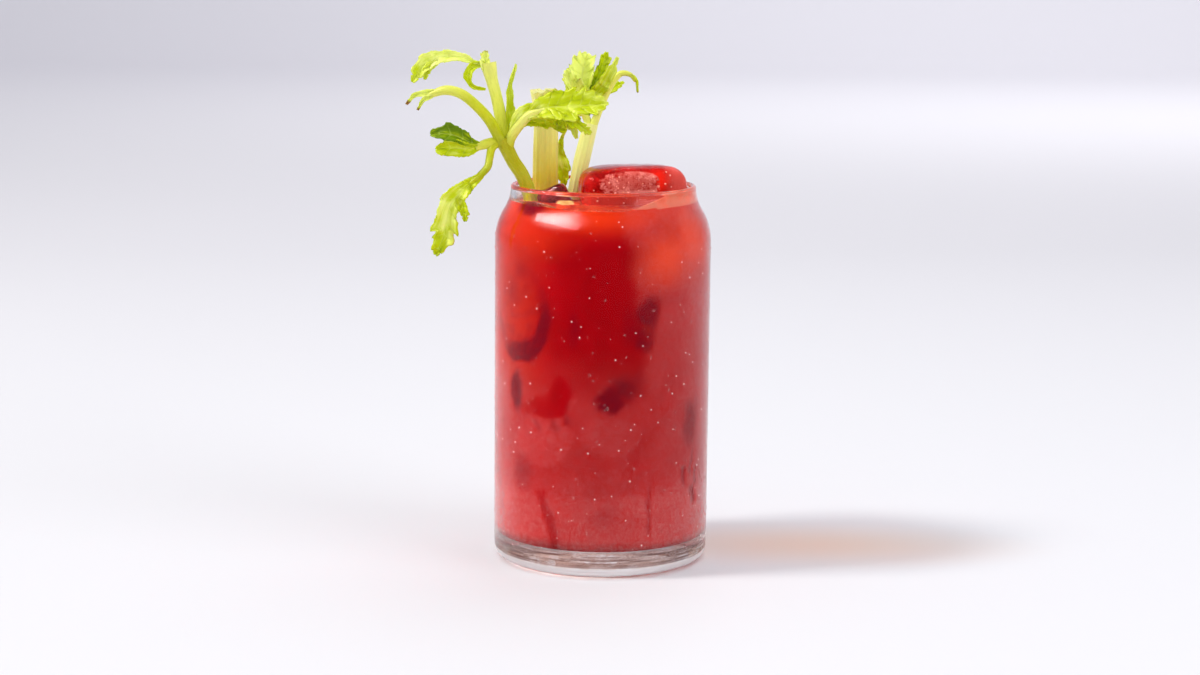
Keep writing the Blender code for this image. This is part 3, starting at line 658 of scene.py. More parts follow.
def sideFields(azimuth, height):  # dark, glow and mist at points of the side
    (shiftSize, shiftTurn), (liftSize, liftReach) = sideLook["waver"]
    shift = wobble(azimuth, height, shiftSize, 0.0)
    fine = wobble(azimuth, height, sideLook["fineSize"], 40.0)
    az = azimuth + shiftTurn * shift + fine
    up = height + liftReach * wobble(azimuth, height, liftSize, 90.0) + sideLook["fineShift"] * fine
    dark = spotField(az, up, sideLook["dark"] + backSpots(), sideLook["mmPerDegree"])
    dark = np.maximum(dark, ringField(az, up, fine))
    glow = glowField(azimuth, height, az, up) * (1 - dark)
    mist = mistField(azimuth, height, az, up, shift)

    look = mistLook
    speck = smooth(*look["speckGrain"], fine) * smooth(*look["speckFoot"], up)
    speck = speck * (1 - smooth(*look["speckTop"], up)) * smooth(*look["speckTurn"], az)
    speck = speck * (az < look["speckEnds"])
    dark = np.maximum(dark, look["speck"] * speck)
    dark = np.maximum(dark, look["dripDark"] * np.clip(dripField(az, up) - look["dripDarkFrom"], 0, 2))
    mist *= 1 - look["darkClears"] * dark
    return dark, glow, np.clip(mist, 0, look["most"])


def glassLine():  # the glass's section, from the middle of its underside round to that of its floor
    shape = glassShape
    wall, corner = shape["wall"], shape["innerCorner"]
    body, heelRadius = shape["bodyRadius"], shape["heelRadius"]
    heel = arcPoints((body - heelRadius, heelRadius), heelRadius, -90, 0, shape["cornerSteps"])
    lipMiddle = (lipRadius - wall / 2, shape["height"] - wall / 2)
    lip = arcPoints(lipMiddle, wall / 2, 0, 180, shape["lipSteps"])
    inside = sidePoints(shape["base"] + corner, neckTop, wall)[::-1]
    foot = arcPoints((body - wall - corner, shape["base"] + corner), corner, 0, -90, shape["cornerSteps"])
    outside = sidePoints(heelRadius, neckTop, 0.0)
    flat = [(r, 0.0) for r in shape["flatRings"]]
    floor = [(r, shape["base"]) for r in shape["floorRings"]]
    return flat + heel + outside[1:] + lip[1:] + inside[1:] + foot[1:] + floor


def glassMaterial(name, ior, tint, through, coat):
    material, tree, shader = newMaterial(name)
    plainInputs(shader, transmission=through, ior=ior, specularTint=tint, coat=coat, coatRoughness=0.4)
    where = addNode(tree, "ShaderNodeTexCoord").outputs["Object"]
    rise = addNode(tree, "ShaderNodeSeparateXYZ", {"Vector": where}).outputs["Z"]
    # painted reflection of the drink in the base: streaked bands with painted glints on their pale parts
    bands = useGroup(tree, fibre, Along=readFloat(tree, "turn"), Around=rise, Lines=950.0)
    paintedReflection = blendColour(tree, bands.outputs["Streak"], glassColours["darkBand"], glassColours["paleBand"])
    glints = useGroup(tree, mottle, Scale=130.0, Grain=0.25, Low=0.485, High=0.535)
    onPale = between(tree, bands.outputs["Streak"], 0.35, 0.6)
    glint = calc(tree, "MULTIPLY", glints.outputs["Mask"], onPale)
    paintedReflection = blendColour(tree, glint, paintedReflection, glassColours["glint"])
    paint(tree, shader, blendColour(tree, readFloat(tree, "paintedBaseLight"), glassColours["clear"], paintedReflection))
    cloud = useGroup(tree, mottle, Scale=90.0, Grain=0.25)
    fogged = between(tree, readFloat(tree, "fog"), 0.0, 1.0, 0.012, 0.10)
    uneven = calc(tree, "ADD", fogged, calc(tree, "MULTIPLY", cloud.outputs["Mask"], 0.012))
    tree.links.new(uneven, shader.inputs["Roughness"])
    addBump(tree, shader, cloud.outputs["Height"], 0.00025, 0.25)
    lampsThrough(tree, shader, 0.93)
    return material


def makeGlass():
    shape = glassShape
    piece = turnedPiece("glassBody", [glassLine()] * shape["steps"])
    points = places(piece)
    away, height = np.hypot(points[:, 0], points[:, 1]), points[:, 2]
    outer = away > wallRadius(height, shape["wall"] / 2)
    _, _, mist = sideFields(azimuthOf(points), height)
    fog = outer * smooth(*shape["fogFoot"], height) * (1 - smooth(*shape["fogTop"], height))
    setFloat(piece, "fog", fog * (shape["fogEven"] + shape["fogByMist"] * mist))
    # painted reflection of the drink in the base, and a painted dark line along its bottom edge
    paintedBaseLight = smooth(*shape["paintedReflectionFoot"], height) * (1 - smooth(*shape["paintedReflectionTop"], height))
    edge = (1 - smooth(*shape["edgeRise"], height)) * smooth(*shape["edgeReach"], away)
    setFloat(piece, "paintedBaseLight", np.maximum(paintedBaseLight, edge))
    setFloat(piece, "turn", np.abs(azimuthOf(points)) / 180)
    for name, finish in glassFinishes.items():
        piece.data.materials.append(glassMaterial(name, *finish))
    middles = faceMiddles(piece)
    away, level = np.hypot(middles[:, 0], middles[:, 1]), middles[:, 2]
    isSide = (away > wallRadius(level, shape["wall"] / 2)) & within(level, shape["sideFaces"])
    # the heel's faces take the painted bright band
    isHeel = within(level, shape["heelFaces"]) & (away > shape["heelReach"])
    setFinishes(piece, isSide + 2 * isHeel)
    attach(piece, "root")
    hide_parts("glass")
    print("glass ready")


def makeMist():
    band = sheetAround("mistOnGlass", 5.0, 131.0, -0.05, 240)
    points = places(band)
    _, _, mist = sideFields(azimuthOf(points), points[:, 2])
    setFloat(band, "mist", mist)
    material, tree, shader = newMaterial("coldMist")
    plainInputs(shader, colour=(0.94, 0.88, 0.885), roughness=0.55, specular=0.2)
    grain = useGroup(tree, mottle, Scale=900.0, Grain=1.5, Low=0.25, High=0.75)
    uneven = between(tree, grain.outputs["Mask"], 0.0, 1.0, 0.35, 1.65)
    amount = calc(tree, "MULTIPLY", readFloat(tree, "mist"), uneven)
    facing = addNode(tree, "ShaderNodeLayerWeight", {"Blend": 0.5}).outputs["Facing"]
    edge = calc(tree, "ADD", 1.0, calc(tree, "MULTIPLY", calc(tree, "POWER", facing, 3.0), 8.0))
    tree.links.new(calc(tree, "MULTIPLY", amount, edge), shader.inputs["Alpha"])
    band.data.materials.append(material)
    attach(band, "root")
    print("mist ready")


makeGlass()
makeMist()


# drink: fills the glass, clings to its wall and creeps up what stands in it

drinkShape = {
    "level": 126.3, "reach": 0.12, "steps": 240, "floorRings": (0.0, 12.0, 24.0), "film": 0.35,
    "filmMiddle": 2.0, "filmRise": (2.0, 5.3), "filmRun": ((15.0, 48.0), (3.0, 50.0)), "filmLeast": 0.15,
    "backDrop": 2.6, "backDropRun": (110, 150), "filmWave": 0.5, "meniscus": 2.2, "meniscusRun": 3.0,
    "meniscusBend": 2.6, "ringStep": 0.7, "ringReach": 28.0, "creep": 0.9, "ripple": 0.10,
    "rippleReach": 28, "topBelow": 0.4, "gleam": (-26, 123.3, 10.5, 2.8, 0.8, 0.8), "fullMist": 0.06,
    "coverRight": (4, 20), "coverBack": (-105, -130), "filmThin": 0.4, "filmMore": 0.58,
    "thinTop": (2.5, 5.2), "thinShare": 0.75, "thinEnds": 10, "filmFacesAbove": 0.9, "wallFacesBelow": 1,
    "surfaceReach": 29.0,
}
drinkColours = {
    "deep": (0.32, 0.0002, 0.0022), "body": (0.38, 0.0006, 0.0035), "milky": (0.54, 0.018, 0.014),
    # lit is painted light in the drink
    "lit": (0.74, 0.045, 0.005), "sunk": (0.15, 0.0005, 0.007), "shadow": (1.0, 0.22, 0.06),
    "wetDark": (0.46, 0.012, 0.004), "wet": (0.70, 0.055, 0.014), "pulp": (0.84, 0.16, 0.05),
    "surfaceShadow": (1.0, 0.5, 0.35), "thinDark": (0.58, 0.12, 0.012), "thin": (0.74, 0.30, 0.09),
    "opaqueDark": (0.70, 0.10, 0.045), "opaque": (0.82, 0.19, 0.10), "darkFilm": (0.14, 0.001, 0.004),
}
iceShapes = {  # middle, half sizes, turn, tilt, seed of the melted form
    "iceLarge": dict(middle=(10.5, -5.4, 126.2), half=(18.7, 10.2, 13.8), turn=11.0, tilt=-2.5, seed=3),
    "iceSmall": dict(middle=(-16.9, -7.7, 128.2), half=(5.4, 3.4, 4.6), turn=-6.0, tilt=-25.0, seed=8),
    "iceChip": dict(middle=(-12.2, -15.8, 125.0), half=(4.3, 3.1, 3.5), turn=20.0, tilt=6.0, seed=5),
}
stalkFeet = [(-25.0, -3.0, 2.6), (-20.6, 9.2, 4.6), (-11.2, 4.0, 2.5)]  # where the stalks leave the drink


def filmTop(azimuth):
    shape = drinkShape
    aside = np.abs(azimuth - shape["filmMiddle"])
    isRight = int(azimuth > shape["filmMiddle"])
    rise = shape["filmRise"][isRight] * smooth(*shape["filmRun"][isRight], aside)
    rise = rise - shape["backDrop"] * smooth(*shape["backDropRun"], aside)
    wave = wobble(np.array([azimuth]), np.array([0.0]), 10.0, 7.0)[0]
    return shape["level"] + max(shape["filmLeast"], float(rise + shape["filmWave"] * wave))


def drinkLine(azimuth):
    shape, glass = drinkShape, glassShape
    inset = glass["wall"] - shape["reach"]
    radius = glass["bodyRadius"] - inset
    floor = glass["base"] - shape["reach"]
    corner = glass["innerCorner"] + shape["reach"]
    level, top = shape["level"], filmTop(azimuth)
    line = [(r, floor) for r in shape["floorRings"]]
    line += arcPoints((radius - corner, floor + corner), corner, -90, 0, 6)
    line += sidePoints(floor + corner, level, inset)[1:]
    line += [(float(wallRadius(z, inset)), z) for z in np.linspace(level, top, 7)[1:]]
    cling = glass["wall"] + shape["film"]
    foot = min(top, level + shape["meniscus"])
    line += [(float(wallRadius(z, cling)), z) for z in np.linspace(top, foot, 5)]
    run, edge = shape["meniscusRun"], float(wallRadius(foot, cling))
    for share in np.linspace(0, 1, 7)[1:]:
        line.append((edge - run * share, level + (foot - level) * (1 - share) ** shape["meniscusBend"]))
    inner = edge - run
    rings = int(shape["ringReach"] / shape["ringStep"])
    line += [(inner * (1 - i / rings), level) for i in range(1, rings)]
    line.append((0.0, level))
    return line


def iceDistance(points, shape):  # how far outside the ice's side a point is, about
    turn = Matrix.Rotation(math.radians(-shape["turn"]), 2)
    flat = points[:, :2] - np.array(shape["middle"][:2])
    across = flat[:, 0] * turn[0][0] + flat[:, 1] * turn[0][1]
    deep = flat[:, 0] * turn[1][0] + flat[:, 1] * turn[1][1]
    both = (np.abs(across) / shape["half"][0]) ** 4.5 + (np.abs(deep) / shape["half"][1]) ** 4.5
    share = both ** (1 / 4.5)
    return (share - 1) * np.hypot(across, deep) / np.maximum(share, 0.05)


def drinkSideMaterial():
    look = drinkColours
    material, tree, shader = newMaterial("tomatoThroughGlass")
    plainInputs(shader, roughness=0.6, specular=0.0)
    cloud = useGroup(tree, mottle, Scale=70.0, Grain=0.35, Low=0.3, High=0.72)
    body = blendColour(tree, cloud.outputs["Mask"], look["deep"], look["body"])
    milky = blendColour(tree, readFloat(tree, "milk"), body, look["milky"])
    # painted light: paler orange where lamp light would shine through the drink
    lit = blendColour(tree, readFloat(tree, "glow"), milky, look["lit"])
    grain = useGroup(tree, mottle, Scale=600.0, Grain=1.0, Low=0.35, High=0.6)
    # painted shade: darker where sunk ice shows the shaded inside of the drink
    dark = readFloat(tree, "dark")
    shade = calc(tree, "MULTIPLY", dark, between(tree, grain.outputs["Mask"], 0.0, 1.0, 0.66, 1.06))
    paint(tree, shader, blendColour(tree, shade, lit, look["sunk"]))
    plainInputs(shader, coatRoughness=0.3)
    tree.links.new(readFloat(tree, "gleam"), shader.inputs["Coat Weight"])
    lampsThrough(tree, shader, 0.22, look["shadow"])
    return material


def drinkSurfaceMaterial():
    look = drinkColours
    material, tree, shader = newMaterial("tomatoSurface")
    plainInputs(shader, roughness=0.35, coat=0.03, coatRoughness=0.05, specular=0.04)
    cloud = useGroup(tree, mottle, Scale=120.0, Grain=0.5, Low=0.35, High=0.7)
    pulp = useGroup(tree, mottle, Scale=900.0, Grain=0.5, Low=0.6, High=0.72)
    wet = blendColour(tree, cloud.outputs["Mask"], look["wetDark"], look["wet"])
    wet = blendColour(tree, calc(tree, "MULTIPLY", pulp.outputs["Mask"], 0.6), wet, look["pulp"])
    paint(tree, shader, wet)
    addBump(tree, shader, pulp.outputs["Height"], 0.0002, 0.5)
    lampsThrough(tree, shader, 0.9, look["surfaceShadow"])
    return material


def drinkFilmMaterial():
    look = drinkColours
    material, tree, shader = newMaterial("tomatoFilm")
    plainInputs(shader, roughness=0.25, specular=0.2)
    streak = useGroup(tree, mottle, Scale=160.0, Grain=0.4, Low=0.3, High=0.7)
    thin = blendColour(tree, streak.outputs["Mask"], look["thinDark"], look["thin"])
    opaque = blendColour(tree, streak.outputs["Mask"], look["opaqueDark"], look["opaque"])
    thin = blendColour(tree, readFloat(tree, "salmon"), thin, opaque)
    paint(tree, shader, blendColour(tree, readFloat(tree, "dark"), thin, look["darkFilm"]))
    cover = readFloat(tree, "film")
    thick = calc(tree, "MULTIPLY", cover, between(tree, streak.outputs["Mask"], 0.0, 1.0, 1.1, 0.75))
    tree.links.new(calc(tree, "MINIMUM", thick, 1.0), shader.inputs["Alpha"])
    return material


def creepUp(points, isTop):  # the drink climbs a little at the ice and the stalks
    shape = drinkShape
    away = np.min([iceDistance(points, ice) for ice in iceShapes.values()], axis=0)
    for x, y, foot in stalkFeet:
        away = np.minimum(away, np.hypot(points[:, 0] - x, points[:, 1] - y) - foot)
    lift = shape["creep"] * np.exp(-np.clip(away, 0, None) / shape["creep"]) * isTop
    radius = np.hypot(points[:, 0], points[:, 1])
    ripple = wobble(azimuthOf(points), radius, 3.0, 20.0) * isTop * (radius < shape["rippleReach"])
    return lift + shape["ripple"] * ripple


def makeDrink():
    shape, wall = drinkShape, glassShape["wall"]
    angles = np.arange(shape["steps"]) * 360.0 / shape["steps"]
    piece = turnedPiece("drinkBody", [drinkLine((a + 180) % 360 - 180) for a in angles])
    points = places(piece)
    radius = np.hypot(points[:, 0], points[:, 1])
    isTop = points[:, 2] > shape["level"] - shape["topBelow"]
    isTop &= radius < wallRadius(points[:, 2], wall + 0.2)
    points[:, 2] += creepUp(points, isTop)
    movePoints(piece, points)

    azimuth, height = azimuthOf(points), points[:, 2]
    dark, glow, mist = sideFields(azimuth, height)
    setFloat(piece, "milk", np.clip(mist / shape["fullMist"], 0, 1) * ~isTop)
    gleam = spotField(azimuth, height, [shape["gleam"]], sideLook["mmPerDegree"])
    setFloat(piece, "gleam", gleam * ~isTop)
    setFloat(piece, "dark", dark * ~isTop)
    setFloat(piece, "glow", glow * ~isTop)
    covered = np.maximum(smooth(*shape["coverRight"], azimuth), smooth(*shape["coverBack"], azimuth))
    setFloat(piece, "salmon", covered)
    film = shape["filmThin"] + shape["filmMore"] * covered
    thinned = smooth(*shape["thinTop"], height - shape["level"]) * (azimuth < shape["thinEnds"])
    film = film * (1 - shape["thinShare"] * thinned)
    setFloat(piece, "film", np.maximum(film, 0.95 * dark * ~isTop))

    for material in (drinkSideMaterial(), drinkSurfaceMaterial(), drinkFilmMaterial()):
        piece.data.materials.append(material)
    middles = faceMiddles(piece)
    away, rise = np.hypot(middles[:, 0], middles[:, 1]), middles[:, 2]
    onWall = away > wallRadius(rise, wall + 0.1)
    finish = np.where(rise > shape["level"] + shape["filmFacesAbove"], 2, np.where(onWall, 0, 1))
    finish = np.where(rise < shape["level"] - shape["wallFacesBelow"], 0, finish)
    finish = np.where((finish == 2) & (away < shape["surfaceReach"]) & ~onWall, 1, finish)
    setFinishes(piece, finish)
    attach(piece, "root")
    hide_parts("drink")
    print("drink ready")


makeDrink()


# ice: wet clear shells, with a frosty heart in the large one

iceLook = {  # places on the large piece are from its middle
    "power": 4.5, "dent": 0.06, "waves": 4, "cuts": 26, "ripple": 0.12, "rippleSize": 3.2,
    "heartShare": (0.965, 0.95, 0.965), "smallHeart": (0.8, 0.8, 0.8), "chipHeart": (0.72, 0.72, 0.72),
    "heartCuts": 8, "frostMiddle": (-1.5, 8.0), "frostWide": 0.62, "frostTall": 4.9,
    "brightMiddle": (8.5, 9.0), "brightHalf": (4.5, 4.0), "brightFades": (0.3, 1.2),
    "rosyFrom": (9.5, 14.5), "rosyAbove": (2.0, 5.0), "rightFrom": (-3.0, 4.0), "sunkBelow": (3.6, 5.0),
    "ledgeHeight": 5.6, "ledgeHalf": 0.55, "ledgeMiddle": 1.5, "ledgeEnds": (5, 8),
    "fleckCount": 1300, "fleckSize": 0.17, "fleckUneven": 0.6, "fleckFlat": (1.0, 1.0, 0.6), "fleckSeed": 4,
    "fleckShare": (0.975, 0.962, 0.974), "fleckCuts": 12, "fleckMiddle": 7.0, "fleckWide": 0.92,
    "fleckTall": 6.6,
}
iceColours = {
    "wet": (1.0, 0.45, 0.42), "wetGloss": (0.5, 0.08, 0.09), "dark": (0.75, 0.20, 0.20),
    "darkGloss": (1.0, 0.9, 0.92), "chip": (0.96, 0.80, 0.52), "chipGloss": (1.0, 1.0, 1.0),
    "frostGloss": (1.0, 0.15, 0.12), "deepRed": (0.22, 0.0006, 0.001), "red": (0.42, 0.006, 0.005),
    "bright": (0.84, 0.035, 0.014), "rosy": (0.70, 0.17, 0.14), "sunkLeft": (0.54, 0.032, 0.008),
    "sunkRight": (0.84, 0.17, 0.10), "frostRed": (0.36, 0.02, 0.017), "frost": (0.56, 0.18, 0.15),
    "frostWhite": (0.84, 0.52, 0.46), "ledge": (0.92, 0.66, 0.58), "smallDark": (0.10, 0.001, 0.005),
    "smallPale": (0.44, 0.05, 0.06), "chipDark": (0.62, 0.34, 0.12), "chipPale": (0.86, 0.68, 0.40),
    # colours of the flecks in the large ice: air bubbles that are also its painted glints
    "bubbleAndGlint": (0.85, 0.50, 0.28), "bubbleAndGlintWhite": (0.97, 0.86, 0.78),
}


def iceMesh(name, shape, shares=(1.0, 1.0, 1.0), cuts=None):
    look = iceLook
    draw = np.random.default_rng(shape["seed"])
    waves = draw.uniform(0.8, 2.2, (look["waves"], 3)) * draw.choice([-1, 1], (look["waves"], 3))
    phases = draw.uniform(0, math.tau, look["waves"])
    bm = bmesh.new()
    bmesh.ops.create_cube(bm, size=2.0)
    bmesh.ops.subdivide_edges(bm, edges=bm.edges, cuts=cuts or look["cuts"], use_grid_fill=True)
    half = np.array(shape["half"]) * np.array(shares)
    for vert in bm.verts:
        point = np.array(vert.co)
        point /= (np.abs(point) ** look["power"]).sum() ** (1 / look["power"])
        dent = 1 + look["dent"] * np.sin(waves @ point + phases).mean()
        place = point * dent * half
        melt = noise.noise(Vector(place / look["rippleSize"] + shape["seed"]))
        vert.co = place * (1 + look["ripple"] * melt / max(1.0, np.abs(place).max()))
    turned = Matrix.Rotation(math.radians(shape["turn"]), 4, "Z")
    turned = turned @ Matrix.Rotation(math.radians(shape["tilt"]), 4, "Y")
    bmesh.ops.transform(bm, matrix=Matrix.Translation(Vector(shape["middle"])) @ turned, verts=bm.verts)
    bmesh.ops.scale(bm, vec=(mm, mm, mm), verts=bm.verts)
    bmesh.ops.recalc_face_normals(bm, faces=bm.faces)
    mesh = bpy.data.meshes.new(name)
    bm.to_mesh(mesh)
    bm.free()
    mesh.shade_smooth()
    return addToScene(name, mesh)


def iceShellMaterial(name, colour, tint, roughness):
    material, tree, shader = newMaterial(name)
    plainInputs(shader, colour=colour, transmission=1.0, ior=1.31, specularTint=tint)
    melt = useGroup(tree, mottle, Scale=240.0, Grain=0.4, Low=0.35, High=0.7)
    roughen(tree, shader, melt.outputs["Mask"], roughness, roughness + 0.02)
    addBump(tree, shader, melt.outputs["Height"], 0.0003, 0.3)
    lampsThrough(tree, shader, 0.8)
    return material


def frostMaterial():  # frosty in the middle of its face, clear dark red towards its edges
    look = iceColours
    material, tree, shader = newMaterial("frostyHeart")
    plainInputs(shader, roughness=0.5, specular=0.2, specularTint=look["frostGloss"])
    inner = readFloat(tree, "inner")
    cloud = useGroup(tree, mottle, Scale=150.0, Grain=0.9, Low=0.32, High=0.62)
    white = useGroup(tree, mottle, Scale=420.0, Grain=0.6, Low=0.52, High=0.66)
    red = blendColour(tree, cloud.outputs["Mask"], look["deepRed"], look["red"])
    red = blendColour(tree, readFloat(tree, "bright"), red, look["bright"])
    red = blendColour(tree, calc(tree, "MULTIPLY", readFloat(tree, "rosy"), 0.8), red, look["rosy"])
    low = blendColour(tree, readFloat(tree, "rightward"), look["sunkLeft"], look["sunkRight"])
    red = blendColour(tree, readFloat(tree, "sunk"), red, low)
    frost = blendColour(tree, cloud.outputs["Mask"], look["frostRed"], look["frost"])
    frost = blendColour(tree, calc(tree, "MULTIPLY", white.outputs["Mask"], 0.6), frost, look["frostWhite"])
    frost = blendColour(tree, calc(tree, "MULTIPLY", readFloat(tree, "ledge"), 0.8), frost, look["ledge"])
    ragged = calc(tree, "ADD", inner, calc(tree, "MULTIPLY", cloud.outputs["Mask"], 0.2))
    paint(tree, shader, blendColour(tree, between(tree, ragged, 0.35, 0.6), red, frost))
    addBump(tree, shader, white.outputs["Height"], 0.0005, 0.6)
    return material


def speckledMaterial(name, first, second, roughness, scale, grain, low, high):
    material, tree, shader = newMaterial(name)
    plainInputs(shader, roughness=roughness, specular=0.5)
    cloud = useGroup(tree, mottle, Scale=scale, Grain=grain, Low=low, High=high)
    paint(tree, shader, blendColour(tree, cloud.outputs["Mask"], first, second))
    return material


def fleckTree():  # small balls strewn over a sheet, more where the attribute amount is larger
    inputs = {"Density": "Float", "Size": "Float", "Uneven": "Float", "Flatness": "Vector", "Seed": "Int",
              "Finish": "Material"}
    tree, start, end = newShapeTree("flecks", inputs)
    weight = addNode(tree, "GeometryNodeInputNamedAttribute", {"Name": "amount"}, data_type="FLOAT")
    density = calc(tree, "MULTIPLY", weight.outputs["Attribute"], start["Density"])
    spread = addNode(tree, "GeometryNodeDistributePointsOnFaces",
                     {"Mesh": start["Geometry"], "Density": density, "Seed": start["Seed"]})
    ball = addNode(tree, "GeometryNodeMeshIcoSphere", {"Radius": 1.0, "Subdivisions": 2})
    least = calc(tree, "SUBTRACT", 1.0, start["Uneven"])
    most = calc(tree, "ADD", 1.0, start["Uneven"])
    draw = addNode(tree, "FunctionNodeRandomValue", data_type="FLOAT")
    for key, value in (("Min", least), ("Max", most), ("Seed", start["Seed"])):
        feed(tree, value, [socket for socket in draw.inputs if socket.name == key and socket.enabled][0])
    drawn = [socket for socket in draw.outputs if socket.enabled][0]
    size = calc(tree, "MULTIPLY", calc(tree, "POWER", drawn, 2.0), start["Size"])
    scale = addNode(tree, "ShaderNodeVectorMath", operation="SCALE")
    feed(tree, start["Flatness"], scale.inputs[0])
    feed(tree, size, scale.inputs["Scale"])
    dots = addNode(tree, "GeometryNodeInstanceOnPoints",
                   {"Points": spread.outputs["Points"], "Instance": ball.outputs["Mesh"],
                    "Rotation": spread.outputs["Rotation"], "Scale": scale.outputs[0]})
    endShapeTree(tree, dots.outputs["Instances"], start["Finish"], end)
    return tree


flecks = fleckTree()


def strewn(name, carrier, density, size, uneven, flatness, seed, material):
    values = {"Density": density, "Size": size * mm, "Uneven": uneven, "Flatness": flatness, "Seed": seed,
              "Finish": material}
    piece = shapedBy(carrier, flecks, values)
    piece.name = name
    piece.data.name = name
    return piece


def largeHeart():  # the cloudy inside of the large piece, with the parts of its face marked for the material
    look, shape = iceLook, iceShapes["iceLarge"]
    heart = iceMesh("iceLargeHeart", shape, look["heartShare"])
    points = places(heart) - np.array(shape["middle"])
    x, z = points[:, 0], points[:, 2]
    across = np.abs(x - look["frostMiddle"][0]) / (shape["half"][0] * look["frostWide"])
    rise = np.abs(z - look["frostMiddle"][1]) / look["frostTall"]
    setFloat(heart, "inner", 1 - np.clip(across**3 + rise**3, 0, 1))
    (brightX, brightZ), (wide, tall) = look["brightMiddle"], look["brightHalf"]
    away = np.hypot((x - brightX) / wide, (z - brightZ) / tall)
    setFloat(heart, "bright", 1 - smooth(*look["brightFades"], away))
    setFloat(heart, "rosy", smooth(*look["rosyFrom"], x) * smooth(*look["rosyAbove"], z))
    setFloat(heart, "rightward", smooth(*look["rightFrom"], x))
    setFloat(heart, "sunk", 1 - smooth(*look["sunkBelow"], z))
    ledge = np.exp(-((z - look["ledgeHeight"]) / look["ledgeHalf"]) ** 2)
    setFloat(heart, "ledge", ledge * (1 - smooth(*look["ledgeEnds"], np.abs(x - look["ledgeMiddle"]))))
    heart.data.materials.append(frostMaterial())
    return heart


# pale flecks in the large ice: air bubbles, which also stand in for its glints as painted glints
def bubbleAndGlintFlecks():
    look, shape, colours = iceLook, iceShapes["iceLarge"], iceColours
    white = speckledMaterial("bubblesAndGlintsInIce", colours["bubbleAndGlint"], colours["bubbleAndGlintWhite"], 0.3, 800.0, 0.4, 0.3, 0.7)
    carrier = iceMesh("fleckCarrier", shape, look["fleckShare"], look["fleckCuts"])
    points = places(carrier) - np.array(shape["middle"])
    across = np.abs(points[:, 0]) / (shape["half"][0] * look["fleckWide"])
    rise = np.abs(points[:, 2] - look["fleckMiddle"]) / look["fleckTall"]
    setFloat(carrier, "amount", 1 - np.clip(across**4 + rise**4, 0, 1))
    area = 4 * shape["half"][0] * shape["half"][2] * 2.4 * mm * mm
    return strewn("bubbleAndGlintFlecksInIce", carrier, look["fleckCount"] / area * 0.5, look["fleckSize"],
                  look["fleckUneven"], look["fleckFlat"], look["fleckSeed"], white)


def makeIce():
    look, colours = iceLook, iceColours
    clear = iceShellMaterial("wetIce", colours["wet"], colours["wetGloss"], 0.005)
    dark = iceShellMaterial("darkIce", colours["dark"], colours["darkGloss"], 0.02)
    chip = iceShellMaterial("meltedChip", colours["chip"], colours["chipGloss"], 0.02)
    for name, node, finish in (
        ("iceLarge", "ice_large", clear), ("iceSmall", "ice_small", dark), ("iceChip", "ice_chip", chip),
    ):
        shell = iceMesh(name, iceShapes[name])
        shell.data.materials.append(finish)
        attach(shell, "root")
        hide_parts(node)

    heart = largeHeart()
    small = iceMesh("iceSmallHeart", iceShapes["iceSmall"], look["smallHeart"], look["heartCuts"])
    small.data.materials.append(
        speckledMaterial("darkHeart", colours["smallDark"], colours["smallPale"], 0.2, 260.0, 0.5, 0.4, 0.75))
    chipHeart = iceMesh("iceChipHeart", iceShapes["iceChip"], look["chipHeart"], look["heartCuts"])
    chipHeart.data.materials.append(
        speckledMaterial("paleHeart", colours["chipDark"], colours["chipPale"], 0.2, 260.0, 0.5, 0.4, 0.75))
    bubbleAndGlint = bubbleAndGlintFlecks()
    for piece in (heart, small, chipHeart, bubbleAndGlint):
        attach(piece, "root")
    print("ice ready:", len(bubbleAndGlint.data.polygons), "faces of air flecks")


makeIce()


# celery: ribbed stalks and stems along paths, rippled leaves with teeth and veins

celeryLook = {
    "channelReach": 112.0, "hollowReach": 96.0, "hollowShift": 0.24, "outerShare": 0.62, "stalkPoints": 132,
    "stalkRibs": 7, "ribDepth": 0.030, "stemPoints": 22, "stemRibs": 6, "stemRibDepth": 0.035,
    "stemDepth": 0.85, "pathStep": 0.7, "leafThickness": 0.42, "leafColumns": 18, "rowsPerLobe": 7,
    "leafEnd": 0.35, "fullness": 0.8, "sweep": 0.55, "notchSweep": 0.22, "foldAtRib": 0.4,
    "rippleStep": 2.1, "ripplePhases": (3.9, 1.3), "crinkle": 0.3, "crinkleSize": 3.6, "veinDip": 0.2,
    "bulge": 0.2, "pleat": 0.10, "pleats": 2.6, "leafLines": 10.0, "lobeReach": (0.62, 1.22),
    "lobeGap": (0.45, 1.55), "lobeCut": (0.3, 1.5), "leafSeed": 31, "teeth": 0.10, "ribWidth": 0.07,
    "veinWidth": 0.22, "smoothBelow": 3.0, "dryFrom": 0.84, "cutTop": (162.5, 164.6), "middleDepth": 0.82,
    "middleWall": 2.9, "middleRibs": 9, "middleRibDepth": 0.02,
}
stalkColours = {  # dark, middle and light colour, lines round it, depth of its strands
    "oliveStalk": ((0.30, 0.30, 0.002), (0.58, 0.55, 0.005), (0.90, 0.92, 0.16), 8.0, 0.0004),
    "yellowStalk": ((0.56, 0.36, 0.012), (0.84, 0.66, 0.010), (0.97, 0.94, 0.34), 9.0, 0.0006),
    "paleStalk": ((0.76, 0.78, 0.06), (0.90, 0.90, 0.16), (0.95, 0.98, 0.36), 8.0, 0.0003),
    "leafStem": ((0.30, 0.35, 0.002), (0.62, 0.66, 0.006), (0.92, 0.93, 0.22), 12.0, 0.0003),
}
leafColours = {
    "dark": (0.12, 0.22, 0.001), "green": (0.55, 0.65, 0.002), "pale": (0.88, 0.98, 0.24),
    "vein": (0.88, 0.95, 0.24), "dry": (0.26, 0.12, 0.03), "gloss": (1.0, 1.0, 0.3),
    "inside": (0.9, 1.0, 0.12),
}
front, back, right = (0, -1, 0), (0, 1, 0), (1, 0, 0)


